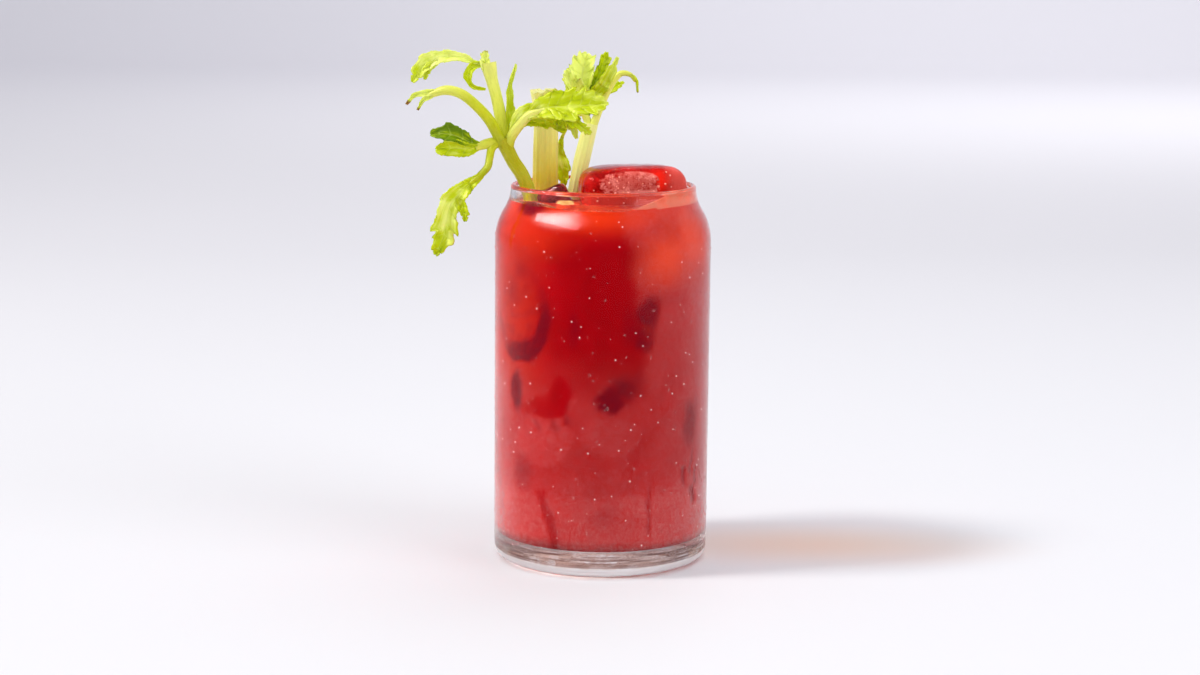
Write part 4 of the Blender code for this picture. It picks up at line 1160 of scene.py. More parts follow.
def smoothRoute(points, count=None):  # even steps along a smooth curve through the points, and their shares
    knots = np.array(points, float)
    ends = np.vstack([2 * knots[0] - knots[1], knots, 2 * knots[-1] - knots[-2]])
    fine, shares = [], []
    for i in range(len(knots) - 1):
        before, here, there, after = ends[i:i + 4]
        for t in np.linspace(0, 1, 24, endpoint=i == len(knots) - 2):
            bend = 2 * before - 5 * here + 4 * there - after
            twist = 3 * here - before - 3 * there + after
            fine.append(here + 0.5 * ((there - before) * t + bend * t**2 + twist * t**3))
            shares.append((i + t) / (len(knots) - 1))
    fine = np.array(fine)
    run = np.concatenate([[0], np.cumsum(np.linalg.norm(np.diff(fine, axis=0), axis=1))])
    count = count or max(4, int(run[-1] / celeryLook["pathStep"]))
    wanted = np.linspace(0, run[-1], count + 1)
    spots = np.stack([np.interp(wanted, run, fine[:, axis]) for axis in range(3)], axis=1)
    return spots, np.interp(wanted, run, shares)


def spreadAlong(values, shares):  # values set evenly from 0 to 1, read at the shares
    return np.interp(shares, np.linspace(0, 1, len(values)), values)


def framesAlong(spots, facingStart, facingEnd):
    frames = []
    for i, tangent in enumerate(np.gradient(spots, axis=0)):
        tangent = tangent / np.linalg.norm(tangent)
        share = i / (len(spots) - 1)
        facing = (1 - share) * np.array(facingStart, float) + share * np.array(facingEnd, float)
        normal = facing - facing.dot(tangent) * tangent
        normal /= np.linalg.norm(normal)
        frames.append((tangent, np.cross(tangent, normal), normal))
    return frames


def channelSection(tree, share, start):  # the outer side of an open channel, then back along its inner side
    look = celeryLook
    split = look["outerShare"]
    reach, hollow = math.radians(look["channelReach"]), math.radians(look["hollowReach"])
    outer = calc(tree, "SUBTRACT", calc(tree, "MULTIPLY", share, 2 / split), 1.0)
    outer = calc(tree, "MULTIPLY", outer, reach)
    innerShare = calc(tree, "MULTIPLY", calc(tree, "SUBTRACT", share, split), 2 / (1 - split))
    inner = calc(tree, "MULTIPLY", calc(tree, "SUBTRACT", 1.0, innerShare), hollow)
    phase = calc(tree, "MULTIPLY", calc(tree, "MULTIPLY", outer, start["Ribs"]), math.pi / reach)
    rib = calc(tree, "MULTIPLY", calc(tree, "COSINE", phase), start["Rib Depth"])
    outerX = calc(tree, "MULTIPLY", calc(tree, "SINE", outer), calc(tree, "ADD", 1.0, rib))
    outerY = calc(tree, "MULTIPLY", calc(tree, "COSINE", outer), calc(tree, "ADD", start["Depth"], rib))
    thin = calc(tree, "SUBTRACT", 1.0, start["Wall Share"])
    thinDeep = calc(tree, "SUBTRACT", start["Depth"], start["Wall Share"])
    innerX = calc(tree, "MULTIPLY", calc(tree, "SINE", inner), thin)
    lowered = calc(tree, "MULTIPLY", calc(tree, "COSINE", inner), thinDeep)
    innerY = calc(tree, "SUBTRACT", lowered, look["hollowShift"])
    isInner = calc(tree, "GREATER_THAN", share, split)
    x = addNode(tree, "ShaderNodeMix", {0: isInner, 2: outerX, 3: innerX}, data_type="FLOAT").outputs[0]
    y = addNode(tree, "ShaderNodeMix", {0: isInner, 2: outerY, 3: innerY}, data_type="FLOAT").outputs[0]
    return x, y


def stemSection(tree, share, start):  # a ribbed round
    turn = calc(tree, "MULTIPLY", share, math.tau)
    phase = calc(tree, "MULTIPLY", turn, start["Ribs"])
    rib = calc(tree, "MULTIPLY", calc(tree, "COSINE", phase), start["Rib Depth"])
    x = calc(tree, "MULTIPLY", calc(tree, "COSINE", turn), calc(tree, "ADD", 1.0, rib))
    y = calc(tree, "MULTIPLY", calc(tree, "SINE", turn), calc(tree, "ADD", start["Depth"], rib))
    return x, y


def stalkTree(name, makeSection, points):  # sweeps a ribbed section along the paths
    inputs = {title: "Float" for title in ("Ribs", "Rib Depth", "Depth", "Wall Share")}
    inputs["Finish"] = "Material"
    tree, start, end = newShapeTree(name, inputs)
    ring = {"Resolution": points, "Radius": 1.0}
    circle = addNode(tree, "GeometryNodeCurvePrimitiveCircle", ring, mode="RADIUS").outputs["Curve"]
    share = addNode(tree, "GeometryNodeSplineParameter").outputs["Factor"]
    x, y = makeSection(tree, share, start)
    spot = addNode(tree, "ShaderNodeCombineXYZ", {"X": y, "Y": x}).outputs[0]
    section = addNode(tree, "GeometryNodeSetPosition", {"Geometry": circle, "Position": spot})
    kept = {"Geometry": section.outputs[0], "Name": "around", "Value": share}
    section = addNode(tree, "GeometryNodeStoreNamedAttribute", kept, data_type="FLOAT", domain="POINT")

    radius = addNode(tree, "GeometryNodeInputNamedAttribute", {"Name": "radius"}, data_type="FLOAT")
    facing = addNode(tree, "GeometryNodeInputNamedAttribute", {"Name": "facing"}, data_type="FLOAT_VECTOR")
    path = addNode(tree, "GeometryNodeMeshToCurve", {"Mesh": start["Geometry"]})
    path = addNode(tree, "GeometryNodeSetCurveNormal", {"Curve": path.outputs[0]}, mode="FREE")
    feed(tree, facing.outputs["Attribute"], path.inputs["Normal"])
    swept = addNode(tree, "GeometryNodeCurveToMesh",
                    {"Curve": path.outputs[0], "Profile Curve": section.outputs[0],
                     "Scale": radius.outputs["Attribute"], "Fill Caps": True})
    endShapeTree(tree, swept.outputs["Mesh"], start["Finish"], end)
    return tree


channelTree = stalkTree("ribbedStalk", channelSection, celeryLook["stalkPoints"])
stemTree = stalkTree("ribbedStem", stemSection, celeryLook["stemPoints"])


def sweptPiece(name, tree, paths, depth, wallShare, ribs, ribDepth, material):
    verts, edges, radii, facings, alongs, tonesAndShading = [], [], [], [], [], []
    for path in paths:
        spots, shares = smoothRoute(path["route"])
        facing = path.get("facing", front)
        frames = framesAlong(spots, facing, facing)
        first, even = len(verts), np.linspace(0, 1, len(spots))
        verts += [tuple(spot * mm) for spot in spots]
        edges += [(first + i, first + i + 1) for i in range(len(spots) - 1)]
        radii += list(spreadAlong(path["widths"], shares) / 2 * mm)
        facings += [normal for _, _, normal in frames]
        alongs += list(even)
        tonesAndShading += list(spreadAlong(path["toneAndShading"], even))
    mesh = bpy.data.meshes.new(name)
    mesh.from_pydata(verts, edges, [])
    piece = addToScene(name, mesh)
    setFloat(piece, "radius", radii)
    setVector(piece, "facing", facings)
    setFloat(piece, "along", alongs)
    setFloat(piece, "toneAndShading", tonesAndShading)
    values = {"Ribs": float(ribs), "Rib Depth": ribDepth, "Depth": depth, "Wall Share": wallShare,
              "Finish": material}
    shapedBy(piece, tree, values)
    fixNormals(piece)
    piece.data.shade_smooth()
    piece.data.set_sharp_from_angle(angle=math.radians(50))
    return piece


def lobesOf(leaf, coarse, rows):  # each lobe has its own length, cut and place along the rib
    look = celeryLook
    draw = np.random.default_rng([look["leafSeed"], coarse, int(abs(leaf["route"][-1][0]) * 10)])
    reach = draw.uniform(*look["lobeReach"], (coarse // 2 + 2, 2))
    cut = draw.uniform(*look["lobeCut"], coarse // 2 + 2)
    gaps = np.concatenate([[0], np.cumsum(draw.uniform(*look["lobeGap"], coarse // 2))])
    even = np.linspace(0, coarse // 2, rows + 1)
    return reach, cut, np.interp(even, np.arange(coarse // 2 + 1), gaps / gaps[-1])


def leafWidth(leaf, share, row, notch, cut, coarse):
    power = math.log(0.5) / math.log(leaf["peak"])
    full = math.sin(math.pi * share**power) ** celeryLook["fullness"]
    width = celeryLook["leafEnd"] + leaf["half_width"] * full
    if 1 < row < coarse - 1:
        width *= 1 - leaf["depth"] * (0.25 + 1.4 * smooth(0.35, 0.8, share)) * cut[int(row / 2)] * notch
    return width


def leafPiece(name, leaf, material):
    look = celeryLook
    coarse = 2 * leaf["lobes"] + 2
    rows = coarse * look["rowsPerLobe"] // 2 * 2
    reach, cut, wanted = lobesOf(leaf, coarse, rows)
    fine, _ = smoothRoute(leaf["route"], rows * 6)
    spots = fine[np.round(wanted * rows * 6).astype(int)]
    frames = framesAlong(spots, *leaf.get("facing", (front, front)))
    columns = look["leafColumns"]
    grid = np.zeros((rows + 1, columns + 1, 3))
    outs, veins, paintedRidgeShadings = (np.zeros((rows + 1, columns + 1)) for _ in range(3))
    for i, (spot, (tangent, side, normal)) in enumerate(zip(spots, frames)):
        share = wanted[i]
        row = i / rows * coarse
        notch = abs((row + 1) % 2 - 1)  # 1 between two points of the leaf, 0 at a point
        width = leafWidth(leaf, share, row, notch, cut, coarse)
        small = min(1.0, width / look["smoothBelow"])
        own = [np.interp(row / 2, np.arange(len(reach)), reach[:, hand]) for hand in range(2)]
        own = [1 + (value - 1) * smooth(0.2, 0.65, share) for value in own]
        teeth = 1 + look["teeth"] * (abs((row * 1.5 + 0.5) % 1 - 0.5) * 2 - 0.5) * (0.1 < share < 0.95)
        sweep = look["notchSweep"] * notch + look["sweep"] * (1 - notch)
        for j in range(columns + 1):
            out = 2 * j / columns - 1
            angle = math.radians(leaf["fold"]) * (look["foldAtRib"] + (1 - look["foldAtRib"]) * abs(out))
            phase = look["rippleStep"] * row + look["ripplePhases"][out > 0]
            wave = leaf["ripple"] * out**2 * math.sin(phase)
            wide = width * (teeth if abs(out) > 0.85 else 1.0) * own[out > 0]
            spread = math.exp(-((notch / look["veinWidth"]) ** 2)) * (1 - 0.5 * abs(out))
            rib = math.exp(-((out / look["ribWidth"]) ** 2))
            vein = max(rib, 0.8 * spread)
            place = spot + side * wide * out * math.cos(angle) + tangent * sweep * width * abs(out)
            crinkle = noise.noise(Vector(place / look["crinkleSize"])) * look["crinkle"] * small
            puff = look["bulge"] * small * math.sin(math.pi * min(1.0, abs(out) * 1.1)) * notch
            pleat = math.sin(look["pleats"] * math.pi * out + 0.9 * math.sin(0.8 * row) + 1.0) * small
            rise = wide * abs(out) * math.sin(angle) + wave + crinkle + puff - look["veinDip"] * vein
            grid[i, j] = place + normal * (rise + look["pleat"] * pleat)
            outs[i, j], veins[i, j] = out, vein
            # painted shading: paler on the ridges of crinkles, puffs and pleats, darker in their hollows
            paintedRidgeShadings[i, j] = 0.6 * crinkle / look["crinkle"] + puff + 0.15 * pleat
    verts, faces, kept = thickSheet(grid, look["leafThickness"])
    piece = makeObject(name, verts, faces)
    shares = np.repeat(wanted[:, None], columns + 1, axis=1)
    dry = leaf.get("dry", 0.0) * smooth(look["dryFrom"], 1.0, shares + 0.1 * np.abs(outs))
    marks = {"along": shares, "around": outs * 0.5 + 0.5, "vein": veins, "paintedRidgeShading": paintedRidgeShadings,
             "toneAndShading": spreadAlong(leaf["toneAndShading"], shares), "dry": dry}
    for mark, values in marks.items():
        setFloat(piece, mark, values.ravel()[kept])
    piece.data.materials.append(material)
    fixNormals(piece)
    return piece


def thickSheet(grid, thickness):  # both faces of a thin sheet; they share the points of its border
    lift = np.cross(np.gradient(grid, axis=0), np.gradient(grid, axis=1))
    lift *= thickness / 2 / np.maximum(np.linalg.norm(lift, axis=2, keepdims=True), 1e-9)
    rows, columns = grid.shape[0] - 1, grid.shape[1] - 1
    verts, kept = [], []
    top = np.zeros((rows + 1, columns + 1), int)
    under = np.zeros((rows + 1, columns + 1), int)
    for i in range(rows + 1):
        for j in range(columns + 1):
            inside = 0 < i < rows and 0 < j < columns
            top[i, j] = len(verts)
            verts.append(grid[i, j] + lift[i, j] * inside)
            kept.append(i * (columns + 1) + j)
            under[i, j] = top[i, j]
            if inside:
                under[i, j] = len(verts)
                verts.append(grid[i, j] - lift[i, j])
                kept.append(i * (columns + 1) + j)
    faces = []
    for i in range(rows):
        for j in range(columns):
            corners = ((i, j), (i, j + 1), (i + 1, j + 1), (i + 1, j))
            first = (2 * i < rows) == (2 * j < columns)
            for pick in (((0, 1, 2), (0, 2, 3)) if first else ((0, 1, 3), (1, 2, 3))):
                faces.append(tuple(int(top[corners[k]]) for k in pick))
                faces.append(tuple(int(under[corners[k]]) for k in pick[::-1]))
    return verts, faces, np.array(kept)


def stalkMaterial(name):
    dark, middle, light, lines, bump = stalkColours[name]
    gloss = leafColours["gloss"]
    material, tree, shader = newMaterial(name)
    plainInputs(shader, specular=0.35, subsurface=0.15, subsurfaceScale=0.002, specularTint=gloss)
    shader.inputs["Subsurface Radius"].default_value = leafColours["inside"]
    along, around = readFloat(tree, "along"), readFloat(tree, "around")
    strands = useGroup(tree, fibre, Along=along, Around=around, Lines=lines)
    patches = useGroup(tree, mottle, Scale=130.0, Grain=0.4, Low=0.3, High=0.7)
    # tone is partly the stalk's own colour and partly painted light and shade
    toneAndShading = readFloat(tree, "toneAndShading")
    low = blendColour(tree, between(tree, toneAndShading, 0.0, 0.5), dark, middle)
    base = blendColour(tree, between(tree, toneAndShading, 0.45, 1.0), low, light)
    base = blendColour(tree, calc(tree, "MULTIPLY", strands.outputs["Streak"], 0.16), base, dark)
    base = blendColour(tree, calc(tree, "MULTIPLY", patches.outputs["Mask"], 0.15), base, light)
    paint(tree, shader, base)
    roughen(tree, shader, strands.outputs["Streak"], 0.38, 0.24)
    addBump(tree, shader, strands.outputs["Height"], bump, 0.6)
    return material


def leafMaterial():
    look = leafColours
    material, tree, shader = newMaterial("celeryLeaf")
    plainInputs(shader, specular=0.4, subsurface=0.3, subsurfaceScale=0.0012, specularTint=look["gloss"])
    shader.inputs["Subsurface Radius"].default_value = look["inside"]
    toneAndShading, vein, paintedRidgeShading = (readFloat(tree, name) for name in ("toneAndShading", "vein", "paintedRidgeShading"))
    patches = useGroup(tree, mottle, Scale=260.0, Grain=0.6, Low=0.32, High=0.68)
    aside = calc(tree, "ABSOLUTE", calc(tree, "SUBTRACT", readFloat(tree, "around"), 0.5))
    slanted = calc(tree, "SUBTRACT", aside, calc(tree, "MULTIPLY", readFloat(tree, "along"), 0.35))
    along = readFloat(tree, "along")
    veins = useGroup(tree, fibre, Along=along, Around=slanted, Lines=celeryLook["leafLines"])
    # tone is partly the leaf's own colour and partly painted light and shade
    lowered = calc(tree, "SUBTRACT", toneAndShading, 0.07)
    streaked = calc(tree, "MULTIPLY", calc(tree, "SUBTRACT", veins.outputs["Streak"], 0.5), 0.2)
    mixed = calc(tree, "ADD", lowered, streaked)
    # painted shading: ridges paler, hollows darker
    mixed = calc(tree, "ADD", mixed, calc(tree, "MULTIPLY", paintedRidgeShading, 0.46))
    low = blendColour(tree, between(tree, mixed, 0.0, 0.5), look["dark"], look["green"])
    base = blendColour(tree, between(tree, mixed, 0.5, 1.0), low, look["pale"])
    veined = calc(tree, "MULTIPLY", between(tree, vein, 0.3, 0.95), 0.3)
    base = blendColour(tree, veined, base, look["vein"])
    speckled = calc(tree, "ADD", readFloat(tree, "dry"), calc(tree, "MULTIPLY", patches.outputs["Mask"], 0.3))
    paint(tree, shader, blendColour(tree, between(tree, speckled, 0.45, 0.9), base, look["dry"]))
    roughen(tree, shader, patches.outputs["Mask"], 0.46, 0.32)
    addBump(tree, shader, veins.outputs["Height"], 0.0003, 0.5)
    return material


# tone runs from dark (0) to pale (1) along each path: partly the celery's own colour, partly painted shade on
# parts in shadow and painted light on lit parts
leftStalk = dict(
    route=[(-15, -3, 14), (-16.5, -3, 60), (-19.5, -3, 105), (-26.6, -3, 131.8), (-31.7, -3, 141.2),
           (-35.4, -3.2, 148.6)],
    widths=(5.6, 5.4, 5.2, 5.0, 4.9, 5.2), facing=(-0.45, -0.85, 0.0), toneAndShading=(0.4, 0.4, 0.45, 0.3, 0.3),
)
leftBranches = [
    dict(route=[(-33.6, -3.2, 144.5), (-36.4, -4.2, 149.2), (-39.8, -6, 155.3), (-44, -8, 160.2),
                (-49.2, -9, 164.4), (-54.6, -9, 165.7), (-60.2, -8, 164)],
         widths=(4.0, 3.9, 3.7, 3.5, 3.4, 3.3, 2.2), toneAndShading=(0.15, 0.3, 0.5, 0.7, 0.8)),  # arches to the left
    dict(route=[(-33.4, -2.6, 144.8), (-34.9, -2, 149.2), (-36.2, -1, 156.5), (-37.8, 0.6, 163.5),
                (-39.3, 1.6, 168.7), (-40.6, 2, 174.6)],
         widths=(4.0, 4.3, 4.1, 3.9, 4.1, 5.6), toneAndShading=(0.4, 0.6, 0.7, 0.8, 1.0)),  # upright, broken at its top
    dict(route=[(-33.2, -3.4, 145), (-32.4, -4.4, 149), (-29.2, -6, 153.8), (-25.4, -7.4, 157.6),
                (-20.4, -8.6, 159.4)],
         widths=(3.4, 3.4, 3.4, 3.0, 1.8), toneAndShading=(0.5, 0.8, 0.95, 0.9)),  # carries the broad right leaf
    dict(route=[(-34, -3, 145.5), (-37.2, -3.6, 147.4), (-41, -4.8, 146.9), (-44.6, -5.8, 145.7)],
         widths=(3.2, 3.5, 3.5, 2.4), toneAndShading=(0.3, 0.6, 0.7)),
    dict(route=[(-33.8, -3.4, 144.6), (-36.5, -3.8, 147), (-38.9, -4.8, 145.6), (-39.7, -6, 142),
                (-40.3, -7.2, 139.2), (-42.8, -8.3, 136.4), (-46.4, -9.2, 133.5)],
         widths=(2.8, 2.8, 2.8, 2.6, 2.6, 2.4, 1.4), toneAndShading=(0.3, 0.4, 0.2, 0.35)),
]
leftLeaves = [
    dict(route=[(-57, -8.6, 165.2), (-62, -8, 164.6), (-65.6, -8, 163.6), (-68.3, -7.8, 160.6)],
         half_width=1.2, peak=0.35, lobes=2, depth=0.15, fold=35, ripple=0.2,
         toneAndShading=(0.9, 0.9, 0.7), dry=0.75),
    dict(route=[(-58.4, -8.2, 164), (-62.2, -8.4, 162.4), (-64.4, -8.4, 158.8)],
         half_width=0.8, peak=0.35, lobes=2, depth=0.15, fold=35, ripple=0.1,
         toneAndShading=(0.9, 0.8, 0.6), dry=0.75),
    dict(route=[(-40.4, 1.8, 170.4), (-41.6, 1.4, 174.8), (-41.3, 2, 178.8)],
         half_width=2.4, peak=0.5, lobes=2, depth=0.2, fold=35, ripple=0.3,
         toneAndShading=(1.0, 1.0, 0.9), dry=0.5),
    dict(route=[(-40.8, 1.8, 174), (-45.5, 1.2, 174.9), (-49.8, 0.4, 176.4), (-54.2, -0.2, 176.8),
                (-59, -1, 176), (-63.4, -2, 173), (-66.6, -3.2, 168)],
         half_width=3.1, peak=0.66, lobes=6, depth=0.22, fold=24, ripple=0.5, facing=((0, -0.8, 0.6), front),
         toneAndShading=(0.8, 0.95, 0.9, 0.6)),
    dict(route=[(-57, -0.8, 175.6), (-61.2, -2.2, 172.8), (-62.4, -3, 169)],
         half_width=1.4, peak=0.5, lobes=2, depth=0.2, fold=20, ripple=0.2, toneAndShading=(0.8, 0.6)),
    dict(route=[(-41.4, 1.6, 174.4), (-45.2, 0.8, 173.8), (-47, -0.1, 171.3), (-46.9, -0.9, 168.4),
                (-45.2, -1.2, 166.4), (-41.4, -1.2, 165.6)],
         half_width=1.5, peak=0.35, lobes=4, depth=0.15, fold=30, ripple=0.2,
         facing=(front, (-0.5, -0.8, 0)),
         toneAndShading=(0.8, 0.5, 0.6)),
    dict(route=[(-33.8, -2, 147), (-33.4, 0, 154.2), (-33.5, 1.8, 161), (-33, 3.2, 167.4), (-31, 4.6, 174.2)],
         half_width=2.3, peak=0.3, lobes=4, depth=0.2, fold=40, ripple=0.3,
         facing=((0.7, -0.7, 0), (0.4, -0.9, 0)),
         toneAndShading=(0.55, 0.6, 0.8)),
    dict(route=[(-32.6, -4.6, 150), (-29.8, -5.8, 155.6), (-26, -6.8, 158.8), (-21.2, -7.8, 160),
                (-15.6, -8.8, 160.4)],
         half_width=2.9, peak=0.5, lobes=3, depth=0.12, fold=25, ripple=0.3, facing=((0, -0.9, 0.3), front),
         toneAndShading=(0.8, 0.75, 0.6)),
    dict(route=[(-27, -6.8, 156.4), (-20.4, -8.8, 159.8), (-12.4, -9.6, 160.4), (-4.9, -9, 161),
                (1.4, -8, 161.5)],
         half_width=6.4, peak=0.5, lobes=7, depth=0.2, fold=22, ripple=0.9,
         facing=((0, -0.95, 0.3), (0, -0.85, 0.5)),
         toneAndShading=(0.75, 0.55, 0.6, 0.5, 0.85)),
    dict(route=[(-31, -5, 151.8), (-26.8, -5.6, 155.2), (-21, -5, 155.6), (-13, -2.8, 151.6)],
         half_width=2.9, peak=0.5, lobes=4, depth=0.2, fold=30, ripple=0.5, facing=(front, (0, -0.8, -0.5)),
         toneAndShading=(0.6, 0.45, 0.4)),
    dict(route=[(-17, -9.2, 159.4), (-12.4, -10.6, 157), (-8.4, -12, 154.2), (-4.4, -12.6, 151.6)],
         half_width=2.4, peak=0.55, lobes=4, depth=0.25, fold=20, ripple=0.4, facing=((0, -0.9, 0.4), front),
         toneAndShading=(0.6, 0.5, 0.7)),
    dict(route=[(-14.4, -9.4, 159.4), (-11.2, -9.8, 154.4), (-9.4, -9.4, 149.6)],
         half_width=1.8, peak=0.5, lobes=3, depth=0.25, fold=20, ripple=0.3, toneAndShading=(0.6, 0.8)),
    dict(route=[(-18.4, -8.8, 159.4), (-15.4, -10.8, 156.8), (-13, -11.6, 153.4)],
         half_width=2.6, peak=0.5, lobes=3, depth=0.25, fold=20, ripple=0.4, facing=(front, (0, -0.8, -0.4)),
         toneAndShading=(0.6, 0.45)),
    # the rolled leaf's upper blade: its low tone is painted shade on its inner face
    dict(route=[(-42, -5.2, 146.4), (-47.1, -6.6, 147.9), (-51.2, -7.8, 149.8), (-55.3, -8.4, 150.6),
                (-60, -8.6, 150.4)],
         half_width=4.0, peak=0.6, lobes=4, depth=0.08, fold=34, ripple=0.4,
         facing=((0, -0.9, 0.4), (0, -0.8, 0.6)),
         toneAndShading=(0.4, 0.12, 0.05, 0.25)),
    dict(route=[(-41.6, -5.2, 146.2), (-47.1, -6.6, 145.4), (-51.2, -7.6, 145.6), (-54.7, -8.2, 145.7),
                (-58.2, -8.6, 145.3)],
         half_width=4.0, peak=0.6, lobes=3, depth=0.08, fold=26, ripple=0.3, facing=((0, -0.9, -0.3), front),
         toneAndShading=(0.5, 0.55, 0.6)),
    dict(route=[(-39.9, -7, 140), (-42.4, -8.2, 136.4), (-46.4, -9.2, 133.3), (-50.8, -10, 129.2),
                (-53.4, -10, 125.3), (-54.6, -9.6, 120), (-55.6, -9, 115), (-58.4, -8.4, 108.4)],
         half_width=5.0, peak=0.63, lobes=9, depth=0.2, fold=22, ripple=0.7,
         facing=((0.2, -0.9, 0.3), front),
         toneAndShading=(0.5, 0.6, 0.8, 0.7, 0.45)),
    dict(route=[(-51, -9.8, 129), (-48.8, -10.8, 125.8), (-47.9, -11.4, 120.6)],
         half_width=1.7, peak=0.5, lobes=3, depth=0.25, fold=20, ripple=0.2, toneAndShading=(0.6, 0.4)),
]
middleStalk = dict(
    route=[(-19.5, 9.5, 14), (-20, 9.2, 70), (-20.6, 9, 130.7), (-20.5, 9.5, 152.2), (-20.5, 10, 160),
           (-20.6, 10.2, 164.6)],
    widths=(9.6, 9.4, 9.1, 8.5, 9.6, 11.2), facing=(0.1, -1.0, 0.0), toneAndShading=(0.5, 0.5, 0.4, 0.45, 0.6, 1.0),
)
rightStalk = dict(
    route=[(-7, 7, 30), (-11, 6.5, 85), (-12.4, 4.6, 112), (-11.2, 4, 125.3), (-9.8, 4.2, 131),
           (-7.7, 4.6, 140.8), (-6.0, 5, 148), (-4.6, 5.2, 153.6)],
    widths=(4.8, 4.8, 4.7, 4.9, 5.1, 5.7, 5.4, 5.0), facing=(-0.35, -0.95, 0.0),
    toneAndShading=(0.9, 0.9, 0.95, 1.0, 0.95),
)
rightBranches = [
    dict(route=[(-5.6, 5, 149), (-3.6, 5, 153.6), (-1.4, 4.8, 159.4), (1, 4, 164.8), (3.2, 3.2, 168.8),
                (5.8, 2.6, 171.4), (9, 2, 171), (10.8, 1, 168.8)],
         widths=(2.9, 2.8, 2.5, 2.3, 2.3, 2.1, 1.6, 1.1), toneAndShading=(0.95, 0.9, 0.85, 0.6)),  # bare arm that curls
    dict(route=[(-5.8, 5.2, 149), (-5.4, 5.6, 153), (-6.6, 5.6, 156.6), (-7.2, 5.2, 160.4), (-6.6, 5, 164.4)],
         widths=(2.6, 2.7, 2.7, 2.5, 2.0), toneAndShading=(0.9, 0.8, 0.7)),  # carries the crown
    dict(route=[(-6.6, 5.8, 157), (-9.6, 9, 156), (-12.6, 12.4, 152.6), (-15.2, 14, 147.6)],
         widths=(1.5, 1.3, 1.2, 1.1), toneAndShading=(0.8, 0.7)),
]
rightLeaves = [
    dict(route=[(8.8, 2, 171.2), (11, 1.2, 168.8), (11.6, 0.6, 165)],
         half_width=1.1, peak=0.4, lobes=2, depth=0.15, fold=25, ripple=0.1, facing=(right, right),
         toneAndShading=(0.7, 0.4),
         dry=0.5),
    dict(route=[(-6.8, 4.6, 160.6), (-9.4, 0.6, 164.2), (-12, -2.4, 168), (-13.6, -3.4, 172.6)],
         half_width=4.7, peak=0.55, lobes=5, depth=0.14, fold=38, ripple=0.8,
         facing=((0, -0.8, 0.5), (0.3, -0.9, 0.2)), toneAndShading=(0.7, 0.9, 1.0)),
    # the crown's big leaf: tone above 1 paints its highlights
    dict(route=[(-6.8, 5, 161.4), (-7.6, 4, 167), (-7.6, 4.6, 172.4), (-6.2, 6, 178)],
         half_width=6.4, peak=0.6, lobes=6, depth=0.09, fold=46, ripple=1.0,
         facing=(front, (0.1, -0.95, 0.2)),
         toneAndShading=(0.75, 1.05, 1.15)),
    dict(route=[(-6.4, 5.4, 162), (-3.6, 7, 167), (-1.2, 8.6, 172.6), (0.6, 9.6, 178.4)],
         half_width=3.6, peak=0.55, lobes=5, depth=0.16, fold=35, ripple=0.6, facing=(front, (0.4, -0.9, 0)),
         toneAndShading=(0.3, 0.35, 0.6)),
    dict(route=[(-6.9, 5.2, 161), (-2.2, 2.6, 165.8), (1.8, 0.8, 171.8), (4.4, 0, 177.2)],
         half_width=2.7, peak=0.45, lobes=5, depth=0.18, fold=30, ripple=0.5, facing=(front, (0.5, -0.8, 0)),
         toneAndShading=(0.5, 0.65, 0.85)),
    dict(route=[(-6.8, 5.6, 160.4), (-10, 9.4, 164), (-11.6, 12.4, 169), (-11, 14, 174)],
         half_width=3.6, peak=0.55, lobes=5, depth=0.18, fold=30, ripple=0.7, facing=(back, back),
         toneAndShading=(0.4, 0.5, 0.7)),
    dict(route=[(-6.4, 5.6, 160), (-1, 9.4, 163.4), (3.2, 12, 165.6), (6.8, 13.4, 167.8)],
         half_width=2.0, peak=0.6, lobes=4, depth=0.2, fold=25, ripple=0.3,
         facing=((0, -0.8, 0.6), (0, -0.7, 0.7)),
         toneAndShading=(0.4, 0.6)),
    dict(route=[(-14.6, 13.6, 149), (-15.8, 14.4, 143.2), (-14.6, 14.6, 137), (-13.8, 14.2, 130.8)],
         half_width=2.8, peak=0.6, lobes=5, depth=0.2, fold=22, ripple=0.6, toneAndShading=(0.5, 0.7, 0.5)),
]


def cutTop(piece):  # the middle stalk's cut end is ragged
    top = middleStalk["route"][-1]
    points = places(piece)
    angle = np.arctan2(points[:, 0] - top[0], -(points[:, 1] - top[1]))
    rag = 0.7 * np.sin(2.6 * angle) + 0.35 * np.sin(9.0 * angle + 1.0)
    points[:, 2] += rag * smooth(*celeryLook["cutTop"], points[:, 2])
    movePoints(piece, points)


def makeCelery():
    look = celeryLook
    olive, yellow, pale, stem = (stalkMaterial(name) for name in stalkColours)
    leafy = leafMaterial()

    def shareOf(stalk, wall):  # the wall's thickness as a share of the stalk's radius
        return 2 * wall / float(np.mean(stalk["widths"]))

    sets = {
        "celeryLeft": (leftStalk, 0.95, 1.7, olive, leftBranches, leftLeaves, "celery_left"),
        "celeryRight": (rightStalk, 0.9, 1.8, pale, rightBranches, rightLeaves, "celery_right"),
    }
    for name, (stalk, depth, wall, finish, branches, leaves, node) in sets.items():
        parts = [sweptPiece(name, channelTree, [stalk], depth, shareOf(stalk, wall), look["stalkRibs"],
                            look["ribDepth"], finish)]
        parts.append(sweptPiece("stems", stemTree, branches, look["stemDepth"], 0.0, look["stemRibs"],
                                look["stemRibDepth"], stem))
        parts += [leafPiece("leaf", leaf, leafy) for leaf in leaves]
        whole = joined(name, parts)
        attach(whole, "root")
        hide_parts(node)
        print(name, "ready:", len(whole.data.polygons), "faces")
    middle = sweptPiece("celeryMiddle", channelTree, [middleStalk], look["middleDepth"],
                        shareOf(middleStalk, look["middleWall"]), look["middleRibs"],
                        look["middleRibDepth"], yellow)
    cutTop(middle)
    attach(middle, "root")
    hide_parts("celery_middle")
    print("celery ready")


makeCelery()


# water drops on the glass and small bubbles on the drink

